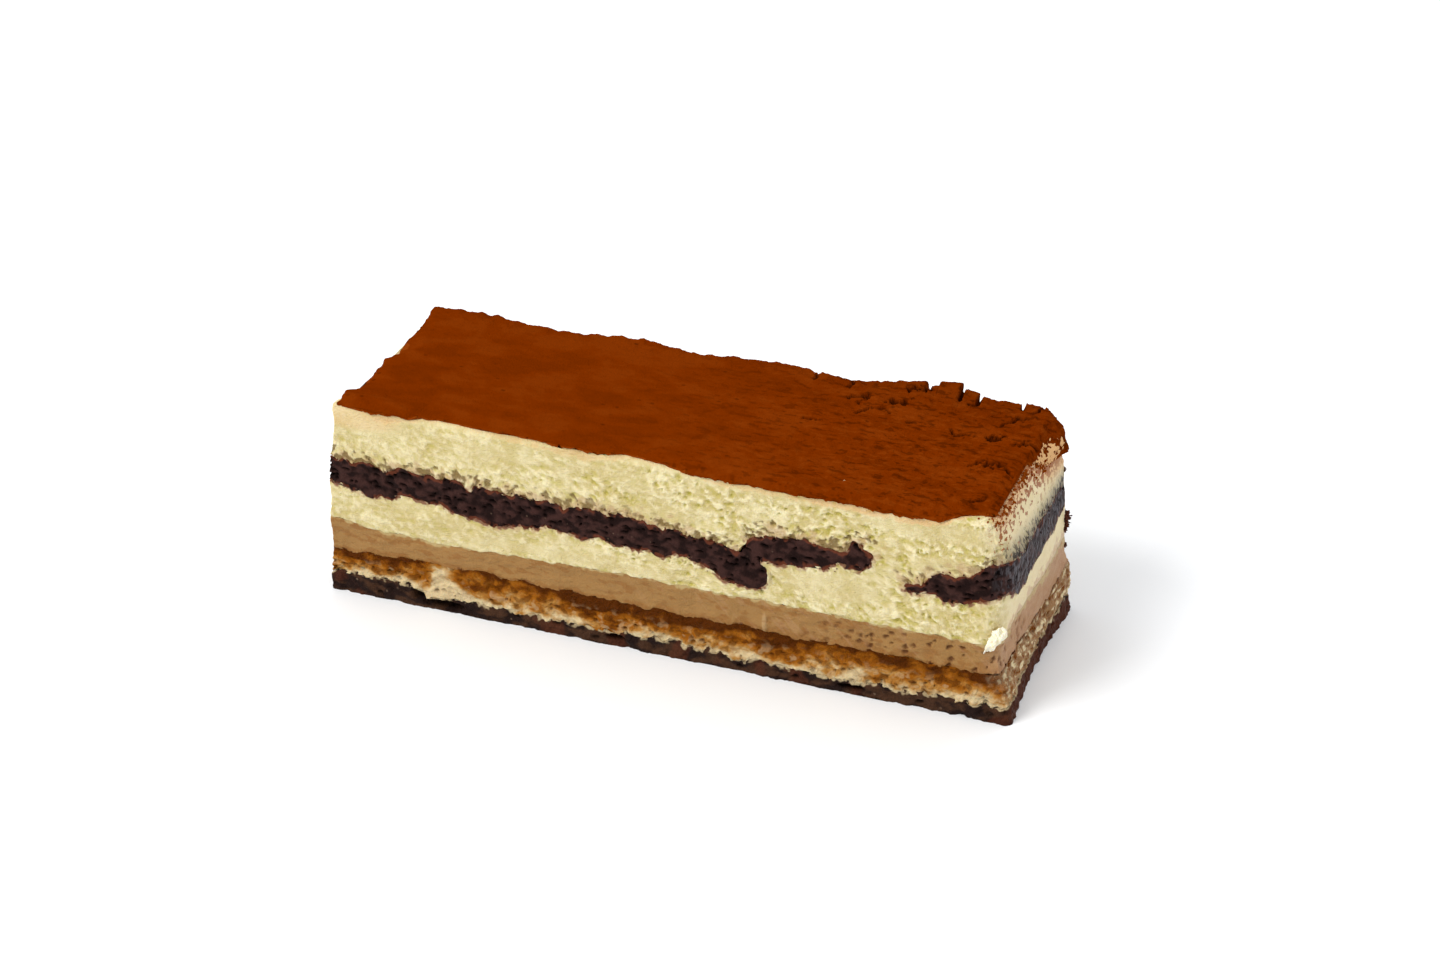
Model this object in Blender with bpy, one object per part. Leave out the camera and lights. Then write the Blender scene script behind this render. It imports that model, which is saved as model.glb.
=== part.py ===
"""A slice of tiramisu cake: a bar cut from a tray cake, about 120 mm long, 37 mm deep and 37 mm high.

Every layer runs through the whole bar and is a solid of its own. From the bottom up: a dark
chocolate base, a coffee-soaked sponge, a coffee mousse, and a mascarpone cream that closes round
three broken slabs of chocolate sponge, under a dusting of cocoa that hangs over the cut edges.

X runs along the bar, Y through its depth (the long cut face looks along -Y), Z up.
The origin is the centre of the underside. Lengths are metres; MM turns millimetres into them.
"""

import math

import bmesh
import bpy
from mathutils import Vector, noise

MM = 0.001

# Driving sizes of the whole bar, in millimetres
HALF_LENGTH = 60.0
HALF_DEPTH = 18.65
CREAM_TOP = 36.0
COCOA_THICKNESS = 0.7
EDGE_ROUND = 0.8
GAP = 0.3

# Heights on the long cut face, as (x, z) in millimetres, left to right
BASE_TOP = ((-60, 3.4), (-47, 4.0), (-39.5, 2.1), (-30, 3.1), (-20, 2.5), (0, 2.9), (24, 2.5), (60, 3.2))
BASE_TOP_MEAN = 3.0
SPONGE_TOP = ((-60, 8.0), (-50, 8.2), (-44, 8.8), (-20, 8.6), (0, 8.3), (60, 8.4))
SPONGE_TOP_MEAN = 8.3
MOUSSE_TOP = ((-60, 15.3), (-50, 14.3), (-40, 14.0), (-20, 14.0), (0, 14.3), (60, 14.2))
MOUSSE_TOP_MEAN = 14.2
LEFT_SLAB_FLOOR = ((-60, 21.4), (-52, 20.1), (-45, 21.3), (-30, 18.8), (-20, 20.1), (4, 19.4), (15, 16.3))
LEFT_SLAB_ROOF = (
    (-60, 26.3), (-46, 25.5), (-35, 25.7), (-28, 24.9), (-10, 25.2), (0, 24.6), (8, 23.2), (15, 22.2),
)
MIDDLE_SLAB_FLOOR = ((14, 22.3), (20, 21.8), (27, 22.5), (33, 24.0), (37, 24.3))
MIDDLE_SLAB_ROOF = (
    (14, 25.2), (16.5, 26.5), (20, 27.2), (28, 26.6), (30.5, 26.2), (33, 28.6), (35, 27.8), (37, 25.3),
)
RIGHT_SLAB_FLOOR = ((41, 21.4), (50, 21.1), (55, 22.4), (60, 24.0))
RIGHT_SLAB_ROOF = ((41, 22.9), (43, 23.3), (47, 24.9), (52, 26.2), (56, 28.8), (60, 30.2))
SLAB_FLOOR_MEAN = 20.3
SLAB_ROOF_MEAN = 25.2

# Ends of the three slabs of chocolate sponge, in millimetres along X
LEFT_SLAB_END = 18.6
MIDDLE_SLAB_START = 14.6
MIDDLE_SLAB_END = 36.4
RIGHT_SLAB_START = 41.1
SLAB_LAP_HEIGHT = 22.2
SLOT_STEP = 0.8

# The right slab sinks towards the back: share of its rise that is left, as (y, share)
RIGHT_ROOF_FADE = ((-18.65, 1.0), (-15, 0.74), (-10, 0.56), (0, 0.32), (10, 0.12), (18.65, 0.0))
RIGHT_FLOOR_FADE = ((-18.65, 1.0), (-15, 0.4), (-10, 0.14), (0, 0.0))
RIGHT_ROOF_BACK = 24.5
RIGHT_FLOOR_BACK = 20.3

# The upright edges lean inwards: distance of each end from the middle, as (z, x)
LEFT_EDGE = ((0, 60.2), (14, 59.4), (20, 59.1), (26, 58.5), (32, 57.4), (37, 56.7))
RIGHT_FRONT_EDGE = (
    (0, 59.9), (4.5, 58.9), (10, 56.8), (13, 56.9), (16, 57.6), (24, 58.3), (30, 57.0), (34, 55.6),
    (37, 55.4),
)
RIGHT_BACK_EDGE = ((0, 60.2), (5, 59.6), (13, 58.5), (21, 58.2), (26, 57.7), (34, 56.6), (37, 55.0))
RIGHT_END_BOW = 0.9
BOW_HEIGHT = 12.0
END_REACH = 22.0

# How far the cut faces stand out or in at each height, as (z, y)
SIDE_STEP = (
    (0, 0.3), (2.5, 0.25), (5, 0.0), (9, -0.3), (13, -0.25), (15, 0.05), (20, 0.1), (25, 0.15), (30, 0.0),
)

# The cocoa's ragged edge: how far it hangs over each top edge (or stops short of it, if negative)
FRONT_OVERHANG = (
    (-57, 0.2), (-50, 1.6), (-46, 0.8), (-43, -0.4), (-39, -1.2), (-35, -1.0), (-28, -0.2), (-12, 0.8),
    (-5, -1.1), (2, -0.1), (10, 0.9), (30, 1.1), (40, 1.7), (48, 1.2), (52, -0.4), (56, -2.2),
)
BACK_OVERHANG = (
    (-56, 0.3), (-46, 0.5), (-30, -0.3), (-16, 0.4), (-8, -0.2), (7, 0.4), (20, -0.3), (37, 0.6), (56, 0.0),
)
LEFT_OVERHANG = ((-18.65, -1.4), (-16, 0.8), (-10.5, -0.8), (-3, 0.0), (5, -1.2), (11, -0.5), (18.65, 0.7))
RIGHT_OVERHANG = ((-18.65, -1.6), (-14, -0.5), (3, -0.3), (7, 1.6), (12, 4.6), (18.65, 6.0))

# The top rises to the back edge, most where the cocoa crust has broken into plates
BACK_RISE = (
    (-57, 0.3), (-47, 0.8), (-40, 0.3), (-16.5, 0.8), (-8, 0.4), (7, 0.8), (20, 0.4), (33, 0.9), (37.5, 1.5),
    (43, 0.5), (56, 0.4),
)
BACK_RISE_START = 10.0
TOP_SWELL = 0.12
TOP_SWELL_SIZE = 14.0

# Relief of the cut faces
CRUMB_DEPTH = 0.42
CRUMB_SIZE = 4.2
CRUMB_FADE_TOP = 33.5
LAYER_WAVE = 0.35
LAYER_WAVE_SIZE = 11.0

# Which stretch of the noise each surface takes
TOP_SEED = 3.3
FRONT_SEED, BACK_SEED, RIGHT_SEED, LEFT_SEED = 5.1, 17.9, 31.7, 47.3
BASE_SEED, SPONGE_SEED, MOUSSE_SEED, SLAB_SEED = 1.5, 2.5, 4.5, 6.5

# Mesh spacing, in millimetres; a point this close to an outer face counts as on it
ON_FACE = 0.01
COLUMN_STEP = 3.0
ROWS = (-18.65, -17.85, -14.0, -9.0, -3.0, 4.0, 11.0, 17.85, 18.65)
COCOA_HALF_GRID = 57.0
COCOA_RIM_STEP = 0.45
COCOA_LIP_SLACK = 0.15
COCOA_ROWS = (-14.0, -10.0, -6.0, -2.0, 2.0, 6.0, 10.0, 14.0)


def smooth(t):
    """Ease from 0 to 1."""
    t = min(1.0, max(0.0, t))
    return t * t * (3 - 2 * t)


def along_profile(knots, at):
    """Height of a profile of (position, value) knots, eased from knot to knot."""
    if at <= knots[0][0]:
        return knots[0][1]
    for (start, low), (end, high) in zip(knots, knots[1:]):
        if at <= end:
            return low + (high - low) * smooth((at - start) / (end - start))
    return knots[-1][1]


def wave(x, y, seed):
    """Slow unevenness of a layer through the depth; nothing on the long cut face, whose heights are known."""
    depth = smooth((y + HALF_DEPTH) / (2 * HALF_DEPTH))
    at = Vector((x / LAYER_WAVE_SIZE, y / LAYER_WAVE_SIZE, seed))
    return 2 * LAYER_WAVE * depth * noise.noise(at)


# ---------------------------------------------------------------- shape of the bar


def end_distance(y, z, right):
    """Distance of an end face from the middle of the bar."""
    if not right:
        return along_profile(LEFT_EDGE, z)
    back = smooth((y + HALF_DEPTH) / (2 * HALF_DEPTH))
    front_edge = along_profile(RIGHT_FRONT_EDGE, z)
    back_edge = along_profile(RIGHT_BACK_EDGE, z)
    bow = RIGHT_END_BOW * math.cos(math.pi * y / (2 * HALF_DEPTH)) * smooth(1 - z / BOW_HEIGHT)
    return front_edge + (back_edge - front_edge) * back - max(0.0, bow)


def crumb(along, z, seed):
    """Relief of a cut face at a height z, fading out under the cocoa."""
    fade = smooth((CREAM_TOP - z) / (CREAM_TOP - CRUMB_FADE_TOP))
    return CRUMB_DEPTH * fade * noise.noise(Vector((along / CRUMB_SIZE, z / CRUMB_SIZE, seed)))


def bar_x(u, v, z):
    """X of a point at u along a straight bar of the full length, once the ends lean in."""
    right = u > 0
    reach = smooth((abs(u) - (HALF_LENGTH - END_REACH)) / END_REACH)
    shift = (end_distance(v, z, right) - HALF_LENGTH) * reach
    if abs(u) > HALF_LENGTH - ON_FACE:
        shift += crumb(v, z, RIGHT_SEED if right else LEFT_SEED)
    return math.copysign(abs(u) + shift, u)


def bar_y(u, v, z):
    """Y of a point at v through a straight bar of the full depth, once its faces are cut unevenly."""
    if abs(v) < HALF_DEPTH - ON_FACE:
        return v
    stand_out = along_profile(SIDE_STEP, z) + crumb(u, z, FRONT_SEED if v < 0 else BACK_SEED)
    return math.copysign(abs(v) + stand_out, v)


def top_height(x, y):
    """Upper surface of the cream, without its rounded edges."""
    swell = TOP_SWELL * noise.noise(Vector((x / TOP_SWELL_SIZE, y / TOP_SWELL_SIZE, TOP_SEED)))
    rise = along_profile(BACK_RISE, x) * smooth((y - BACK_RISE_START) / (HALF_DEPTH - BACK_RISE_START))
    return CREAM_TOP + swell + rise


# ---------------------------------------------------------------- surfaces between the layers


def base_top(x, y):
    return along_profile(BASE_TOP, x) + wave(x, y, BASE_SEED)


def sponge_top(x, y):
    return along_profile(SPONGE_TOP, x) + wave(x, y, SPONGE_SEED)


def mousse_top(x, y):
    return along_profile(MOUSSE_TOP, x) + wave(x, y, MOUSSE_SEED)


def right_slab(front, back, fade, x, y):
    """Height on the right slab, which sinks from the long cut face towards the back."""
    return back + (along_profile(front, x) - back) * along_profile(fade, y)


def slot_floor(x, y):
    """Underside of the chocolate sponge."""
    if x < LEFT_SLAB_END + SLOT_STEP / 2:
        return along_profile(LEFT_SLAB_FLOOR, x) + wave(x, y, SLAB_SEED)
    if x < (MIDDLE_SLAB_END + RIGHT_SLAB_START) / 2:
        return along_profile(MIDDLE_SLAB_FLOOR, x) + wave(x, y, SLAB_SEED)
    return right_slab(RIGHT_SLAB_FLOOR, RIGHT_FLOOR_BACK, RIGHT_FLOOR_FADE, x, y) + wave(x, y, SLAB_SEED)


def slot_roof(x, y):
    """Upper side of the chocolate sponge."""
    if x < MIDDLE_SLAB_START - SLOT_STEP / 2:
        return along_profile(LEFT_SLAB_ROOF, x) + wave(x, y, SLAB_SEED)
    if x < (MIDDLE_SLAB_END + RIGHT_SLAB_START) / 2:
        return along_profile(MIDDLE_SLAB_ROOF, x) + wave(x, y, SLAB_SEED)
    return right_slab(RIGHT_SLAB_ROOF, RIGHT_ROOF_BACK, RIGHT_ROOF_FADE, x, y) + wave(x, y, SLAB_SEED)


def slab_lap(x, y):
    """Where the middle slab lies on the end of the left one."""
    return SLAB_LAP_HEIGHT + wave(x, y, SLAB_SEED)


def rounded_drop(u, v):
    """How far the top edge of the cream is rounded off at its rim."""
    at_rim = abs(u) > HALF_LENGTH - ON_FACE or abs(v) > HALF_DEPTH - ON_FACE
    return EDGE_ROUND if at_rim else 0.0


# ---------------------------------------------------------------- building blocks


def columns_between(start, end):
    """Even columns along X from start to end, about COLUMN_STEP apart."""
    count = max(1, round((end - start) / COLUMN_STEP))
    return [start + (end - start) * i / count for i in range(count + 1)]


def material(name, colour, roughness):
    made = bpy.data.materials.new(name)
    made.use_nodes = True
    shader = made.node_tree.nodes["Principled BSDF"]
    shader.inputs["Base Color"].default_value = (*colour, 1.0)
    shader.inputs["Roughness"].default_value = roughness
    shader.inputs["Metallic"].default_value = 0.0
    return made


def block(name, columns, rows, levels, place, finish, left_out=()):
    """A solid cut into columns, rows and levels, then shaped by place(u, v, level) in millimetres.

    Its front face is laid out as a grid, without the (column, level) cells that are left out, and
    extruded through the depth row by row.
    """
    mesh = bmesh.new()
    corners = {}
    front = []

    def corner(i, k):
        if (i, k) not in corners:
            corners[i, k] = mesh.verts.new((columns[i], rows[0], k))
        return corners[i, k]

    for i in range(len(columns) - 1):
        for k in range(levels):
            if (i, k) not in left_out:
                cell = (corner(i, k), corner(i + 1, k), corner(i + 1, k + 1), corner(i, k + 1))
                front.append(mesh.faces.new(cell))
    for near, far in zip(rows, rows[1:]):
        grown = bmesh.ops.extrude_face_region(mesh, geom=front)["geom"]
        if near != rows[0]:
            bmesh.ops.delete(mesh, geom=front, context="FACES_ONLY")
        moved = [part for part in grown if isinstance(part, bmesh.types.BMVert)]
        front = [part for part in grown if isinstance(part, bmesh.types.BMFace)]
        bmesh.ops.translate(mesh, verts=moved, vec=(0, far - near, 0))
    bmesh.ops.recalc_face_normals(mesh, faces=mesh.faces)
    for vertex in mesh.verts:
        vertex.co = Vector(place(vertex.co.x, vertex.co.y, round(vertex.co.z))) * MM
    bmesh.ops.triangulate(mesh, faces=mesh.faces)
    return finished(name, mesh, finish)


def finished(name, mesh, finish):
    """Turn a bmesh into a named object of the scene."""
    data = bpy.data.meshes.new(name)
    mesh.to_mesh(data)
    mesh.free()
    data.materials.append(finish)
    made = bpy.data.objects.new(name, data)
    bpy.context.scene.collection.objects.link(made)
    return made


def between(floor, roof, levels, floor_mean, roof_mean):
    """A place function for a layer that fills the space from floor(x, y) to roof(x, y), less half a gap each.

    The mean heights of the two set how far the ends lean in at each level.
    """

    def place(u, v, level):
        share = level / levels
        x = bar_x(u, v, floor_mean + (roof_mean - floor_mean) * share)
        low = floor(x, v) + GAP / 2
        high = roof(x, v) - GAP / 2
        z = low + (high - low) * share
        return x, bar_y(u, v, z), z

    return place


# ---------------------------------------------------------------- the layers


def chocolate_base():
    finish = material("chocolate_base", (0.045, 0.022, 0.013), 0.55)
    columns = columns_between(-HALF_LENGTH, HALF_LENGTH)

    def place(u, v, level):
        x = bar_x(u, v, BASE_TOP_MEAN * level)
        z = (base_top(x, v) - GAP / 2) * level
        return x, bar_y(u, v, z), z

    return block("chocolate_base", columns, ROWS, 1, place, finish)


def soaked_sponge():
    finish = material("soaked_sponge", (0.27, 0.12, 0.035), 0.45)
    columns = columns_between(-HALF_LENGTH, HALF_LENGTH)
    place = between(base_top, sponge_top, 2, BASE_TOP_MEAN, SPONGE_TOP_MEAN)
    return block("soaked_sponge", columns, ROWS, 2, place, finish)


def coffee_mousse():
    finish = material("coffee_mousse", (0.42, 0.25, 0.11), 0.5)
    columns = columns_between(-HALF_LENGTH, HALF_LENGTH)
    place = between(sponge_top, mousse_top, 2, SPONGE_TOP_MEAN, MOUSSE_TOP_MEAN)
    return block("coffee_mousse", columns, ROWS, 2, place, finish)


def slab_columns():
    """Columns of the cream, with one pair at each end of a slot so that its wall stands steep."""
    inner = HALF_LENGTH - EDGE_ROUND
    stops = (
        (-inner, MIDDLE_SLAB_START - SLOT_STEP),
        (MIDDLE_SLAB_START, LEFT_SLAB_END),
        (LEFT_SLAB_END + SLOT_STEP, MIDDLE_SLAB_END),
        (RIGHT_SLAB_START, inner),
    )
    columns = [x for start, end in stops for x in columns_between(start, end)]
    return [-HALF_LENGTH, *columns, HALF_LENGTH]


def mascarpone_cream():
    """One piece of cream under, over and between the slabs, with a slot through it for them."""
    finish = material("mascarpone_cream", (0.76, 0.64, 0.38), 0.6)
    columns = slab_columns()
    below, slot, above = 2, 3, 6

    def place(u, v, level):
        if level <= below:
            share = level / below
            x = bar_x(u, v, MOUSSE_TOP_MEAN + (SLAB_FLOOR_MEAN - MOUSSE_TOP_MEAN) * share)
            low = mousse_top(x, v) + GAP / 2
            high = slot_floor(x, v) - GAP / 2
        else:
            share = (level - slot) / (above - slot)
            x = bar_x(u, v, SLAB_ROOF_MEAN + (CREAM_TOP - SLAB_ROOF_MEAN) * share)
            low = slot_roof(x, v) + GAP / 2
            high = top_height(x, v) - rounded_drop(u, v)
        z = low + (high - low) * share
        return x, bar_y(u, v, z), z

    def in_slot(i):
        middle = (columns[i] + columns[i + 1]) / 2
        return middle < MIDDLE_SLAB_END or middle > RIGHT_SLAB_START

    empty = {(i, below) for i in range(len(columns) - 1) if in_slot(i)}
    return block("mascarpone_cream", columns, ROWS, above, place, finish, empty)


def chocolate_slab(name, start, end, floor, roof, finish):
    """A broken slab of chocolate sponge, with a gap to the cream at the ends where it is broken off."""
    columns = [x for x in slab_columns() if start - 0.01 < x < end + 0.01]
    if start > -HALF_LENGTH:
        columns[0] += GAP
    if end < HALF_LENGTH:
        columns[-1] -= GAP
    place = between(floor, roof, 2, SLAB_FLOOR_MEAN, SLAB_ROOF_MEAN)
    return block(name, columns, ROWS, 2, place, finish)


def chocolate_sponge():
    finish = material("chocolate_sponge", (0.042, 0.021, 0.015), 0.6)

    def left_roof(x, y):
        under_middle = x > MIDDLE_SLAB_START - SLOT_STEP / 2
        return slab_lap(x, y) if under_middle else slot_roof(x, y)

    def middle_floor(x, y):
        over_left = x < LEFT_SLAB_END + SLOT_STEP / 2
        return slab_lap(x, y) if over_left else slot_floor(x, y)

    slabs = (
        ("left", -HALF_LENGTH, LEFT_SLAB_END, slot_floor, left_roof),
        ("middle", MIDDLE_SLAB_START, MIDDLE_SLAB_END, middle_floor, slot_roof),
        ("right", RIGHT_SLAB_START, HALF_LENGTH, slot_floor, slot_roof),
    )
    for side, start, end, floor, roof in slabs:
        chocolate_slab(f"chocolate_sponge_{side}", start, end, floor, roof, finish)


# ---------------------------------------------------------------- the cocoa


def over_edge(t, half):
    """A point t from the middle, measured along the top and over its rounded edge.

    Returns its distance from the middle, how far it has dropped, and the outward and upward parts
    of the surface's normal.
    """
    side = math.copysign(1.0, t)
    beyond = abs(t) - (half - EDGE_ROUND)
    quarter = EDGE_ROUND * math.pi / 2
    if beyond <= 0:
        return t, 0.0, 0.0, 1.0
    if beyond < quarter:
        turn = beyond / EDGE_ROUND
        out = half - EDGE_ROUND + EDGE_ROUND * math.sin(turn)
        return side * out, EDGE_ROUND * (1 - math.cos(turn)), side * math.sin(turn), math.cos(turn)
    return side * half, EDGE_ROUND + beyond - quarter, side, 0.0


def spaced(inner, half, low, high, step):
    """Stations from low to high, measured over both rounded edges.

    The inner ones and those at the two ends of each rounding stay put, unless the ragged end comes
    closer than that: then they are kept a step apart.
    """
    flat = half - EDGE_ROUND
    down = flat + EDGE_ROUND * math.pi / 2
    stations = [low, -down, -flat, *inner, flat, down, high]
    last = len(stations) - 1
    for i in range(1, last):
        stations[i] = max(stations[i], low + step * i)
    for i in range(last - 1, 0, -1):
        stations[i] = min(stations[i], high - step * (last - i))
    return stations


def cocoa_dusting():
    """A crust of cocoa on the cream, with a ragged rim that hangs over the cut faces in places."""
    finish = material("cocoa_dusting", (0.20, 0.034, 0.004), 0.95)
    along = columns_between(-COCOA_HALF_GRID, COCOA_HALF_GRID)
    rim_stations = 6
    columns = range(len(along) + rim_stations)
    rows = range(len(COCOA_ROWS) + rim_stations)

    def unrolled(i, j):
        """Where a corner of the grid lies on the unrolled top."""
        near = along[min(max(i - rim_stations // 2, 0), len(along) - 1)]
        front = -(HALF_DEPTH + along_profile(FRONT_OVERHANG, near))
        back = HALF_DEPTH + along_profile(BACK_OVERHANG, near)
        t = spaced(COCOA_ROWS, HALF_DEPTH, front, back, COCOA_RIM_STEP)[j]
        left = -(HALF_LENGTH + along_profile(LEFT_OVERHANG, t))
        right = HALF_LENGTH + along_profile(RIGHT_OVERHANG, t)
        return spaced(along, HALF_LENGTH, left, right, COCOA_RIM_STEP)[i], t

    def place(i, j, level):
        s, t = unrolled(round(i), round(j))
        u, u_drop, u_out, u_up = over_edge(s, HALF_LENGTH)
        v, v_drop, v_out, v_up = over_edge(t, HALF_DEPTH)
        normal = Vector((u_out, v_out, u_up * v_up)).normalized()
        overhang_slack = COCOA_LIP_SLACK * (1 - normal.z)
        stand = normal * (GAP + overhang_slack + COCOA_THICKNESS * level)
        drop = max(u_drop, v_drop)
        x = bar_x(u, v, CREAM_TOP - drop)
        z = top_height(x, v) - drop
        return x + stand.x, bar_y(u, v, z) + stand.y, z + stand.z

    return block("cocoa_dusting", columns, rows, 1, place, finish)


def main():
    for old in list(bpy.data.objects):
        bpy.data.objects.remove(old)
    chocolate_base()
    soaked_sponge()
    coffee_mousse()
    mascarpone_cream()
    chocolate_sponge()
    cocoa_dusting()


main()
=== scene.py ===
"""Dresses the layers of a slice of tiramisu cake: crumb, pores, cream, soaked sponge and cocoa powder."""

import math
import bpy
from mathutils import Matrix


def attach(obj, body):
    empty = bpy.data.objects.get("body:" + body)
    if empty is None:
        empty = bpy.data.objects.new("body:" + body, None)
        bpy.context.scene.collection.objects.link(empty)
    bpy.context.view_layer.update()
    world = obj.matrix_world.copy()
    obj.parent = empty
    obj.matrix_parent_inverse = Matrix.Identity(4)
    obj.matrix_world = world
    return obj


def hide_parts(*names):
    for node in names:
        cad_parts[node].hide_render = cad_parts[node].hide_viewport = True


bl_info = {
    "name": "Slice of tiramisu cake",
    "version": (1, 0, 0),
    "blender": (4, 5, 0),
    "location": "3D View > Sidebar > Tiramisu",
    "description": "Gives the layers of a tiramisu slice their crumb, pores, cream and cocoa",
    "category": "Object",
}

import bpy
from mathutils import Vector
from mathutils.bvhtree import BVHTree

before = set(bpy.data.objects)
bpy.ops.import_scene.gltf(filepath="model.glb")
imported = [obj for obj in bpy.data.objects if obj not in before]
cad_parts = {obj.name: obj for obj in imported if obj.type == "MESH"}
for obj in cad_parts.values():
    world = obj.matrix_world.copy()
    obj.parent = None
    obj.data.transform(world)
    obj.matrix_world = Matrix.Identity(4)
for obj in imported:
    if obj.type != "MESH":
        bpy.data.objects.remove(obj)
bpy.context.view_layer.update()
MM = 0.001

CHOCOLATE_NODES = ("chocolate_sponge_left", "chocolate_sponge_middle", "chocolate_sponge_right")

# Where the cut faces are, in millimetres
FACE_Y = 18
END_X = 54
SHOULDER_Z = 33

# Faces that meet at more than this angle keep a crisp edge
SHARP_ANGLE = math.radians(70)

# How far the boundaries between the layers wander, as (height, reach) in millimetres
RAG_BY_HEIGHT = (
    (0, 0), (1.2, 0.3), (3, 1.2), (6, 0.7), (8.4, 0.6), (12, 0.25), (15, 0.4), (18, 1.1),
    (28, 1.1), (33, 0.1), (36, 0), (40, 0),
)

# Broken ends of the chocolate slabs: x, middle height, half height, how far the corners are worn back
SLAB_ENDS = (
    (18.6, 18.6, 2.6, -1.6), (14.6, 23.4, 2.6, 0.7), (36.4, 25.6, 1.7, -1.1), (41.1, 22, 1.2, 0.8),
)

# The upright edges at the right, as (height, x) and (height, radius) in millimetres
FRONT_CORNER_X = (
    (0, 59.9), (4.5, 58.9), (10, 56.8), (13, 56.9), (16, 57.6), (24, 58.3), (30, 57), (34, 55.6),
    (40, 55.4),
)
FRONT_CORNER_RADIUS = ((0, 0.8), (5, 1.4), (12, 2.6), (20, 4), (30, 4), (36, 3), (40, 3))
BACK_CORNER_X = ((0, 60.2), (5, 59.6), (13, 58.5), (21, 58.2), (26, 57.7), (34, 56.6), (40, 55))
BACK_CORNER_RADIUS = ((0, 1), (28, 1.2), (34, 3.4), (40, 3.4))
CORNER_Y = -18.75

# Hollows under the sponge in the base, painted dark as shade; the second stands in for the shadow slot under
# the base: x, z, half length, half height
BASE_CAVES = ((-43, 2.6, 1.9, 1.3), (-39.4, 1.1, 3.4, 0.8), (33, 1.2, 2.2, 0.5), (-8, 1.6, 1.6, 0.5))
CAVE_DEPTH = 1.8

# The ridge that the knife left in the mousse: x, z, half length, half height
MOUSSE_RIDGE = (18, 9.9, 0.4, 2)

# Patches of the long cut face where the cream is smeared smooth: x, z, half length, half height
SMOOTH_CREAM = (
    (-52, 33.6, 9, 1.8), (46, 33, 13, 1.8), (29, 19.3, 9, 2.4), (49, 26.6, 7, 2),
    (-15, 15.4, 22, 1), (-2, 26.8, 10, 0.9),
)

# Single crumbs at the back right edge and on the cocoa, as x, y, z, radius
EDGE_CRUMBS = (
    (57.9, 18.4, 17.6, 0.9), (58, 18.6, 16.2, 0.8), (58.3, 18.5, 12.1, 0.4), (57.3, 18.1, 26.6, 0.4),
    (58.1, 18.6, 15, 0.4),
)
PALE_CRUMBS = ((29.9, -15.3, 37, 0.2), (6.4, 12.9, 36.9, 0.12))

# The cocoa crust: height of its top, how far its front edge is set back near the left, what a crack leaves
# of its thickness, and how far from the cream a point has to be to lie on its outer skin
COCOA_TOP = 37
SET_BACK = 1.3
CRACK_FLOOR = 0.1
OUTER_SKIN = 0.7

# Cracks of the cocoa crust, gaps between its broken plates, and pits, as x, y of both ends
CRACKS = (
    (14.7, 19, 15, 14.8), (21.4, 16.9, 20.9, 14), (17.2, 2.4, 20.1, 2.4), (33.6, 6.8, 34.8, 7.2),
    (41.1, 6.6, 41.5, 5.3), (41.5, 5.3, 43.4, 5.6), (48.3, 10.8, 50.2, 12.8), (51.5, -1.5, 54.1, -4.1),
    (50.4, -14.5, 52.2, -13), (52.4, 15.9, 54.1, 19.6), (24.9, 6.5, 26.5, 9.1), (26.5, 9.1, 28.7, 9.9),
    (28.7, 9.9, 30.1, 8.4), (33.6, 19.6, 34.4, 16.9),
)
GAPS = ((39.4, 20.6, 40, 15.2), (42.4, 20.8, 42.9, 15.2), (42.9, 15.2, 41.6, 14.7), (49.8, 20.2, 50.2, 16.8))
PITS = (
    (22.4, 10.9, 25, 11.9), (29, 11.6, 32, 12.4), (30.9, 15.9, 34.6, 16.9), (42.4, 6, 44, 5.6),
    (49.7, 13.2, 52, 13.6), (47.9, 5.8, 49.1, 7), (51.5, 5.4, 54.9, 6.3), (47.9, -2.8, 51.2, -1.5),
)

# How far the broken plates stand up at the back edge, as (x + 60, height) in millimetres
BACK_PLATES = (
    (0, 0), (84, 0), (93.2, 0.85), (93.6, 0.1), (95.6, 0), (95.9, 1.05), (99.3, 1.2), (99.6, 0.55),
    (102.3, 0.45), (102.8, 0.05), (109.7, -0.35), (110.1, -0.05), (114.5, 0.1), (120, 0),
)

# Share of the way up to the top that the cocoa's front edge is raised, against x + 60
RIM_RAISED = (
    (0, -0.3), (6, -0.25), (10, 0.1), (14.7, 0.45), (19, 0.35), (27, 0.2), (31.7, 0.25), (36, 0.45),
    (44, 0.4), (48.6, 0.5), (53, 0.2), (60, 0.25), (70, 0.4), (87, 0.4), (95, 0.25), (104, 0.25),
    (108, 0), (112, 0), (115, 0.4), (120, 0.4),
)

# The studio in metres, with the width of the camera's sensor in millimetres
FLOOR_SIZE = 6
FLOOR_CUTS = 8
SENSOR_WIDTH = 36
LIT_POINT = (0, 0, 0.02)
ROOM_TINT = (0.985, 0.992, 1, 1)
# Lights: name, place, size, share of the key light's power, colour
LIGHTS = (
    ("key_light", (-0.85, -0.95, 1.35), 0.8, 1, (1, 0.99, 0.97)),
    ("fill_light", (0.2, 0.9, 0.9), 0.7, 0.14, (0.97, 0.99, 1)),
)


# ---------------------------------------------------------------- sizes and colours


def tone(red, green, blue):
    """A colour given as it shows on a screen, 0 to 255, as linear light."""
    shown = (red / 255, green / 255, blue / 255)
    return tuple(v / 12.92 if v <= 0.04045 else ((v + 0.055) / 1.055) ** 2.4 for v in shown)


def number(name, description, default, **more):
    return bpy.props.FloatProperty(name=name, description=description, default=default, **more)


def length(name, description, millimetres):
    default = millimetres * MM
    return number(name, description, default, min=0, precision=5, subtype="DISTANCE", unit="LENGTH")


def colour(name, description, *shown):
    return bpy.props.FloatVectorProperty(
        name=name, description=description, default=tone(*shown), size=3, min=0, max=1, subtype="COLOR"
    )


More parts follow.
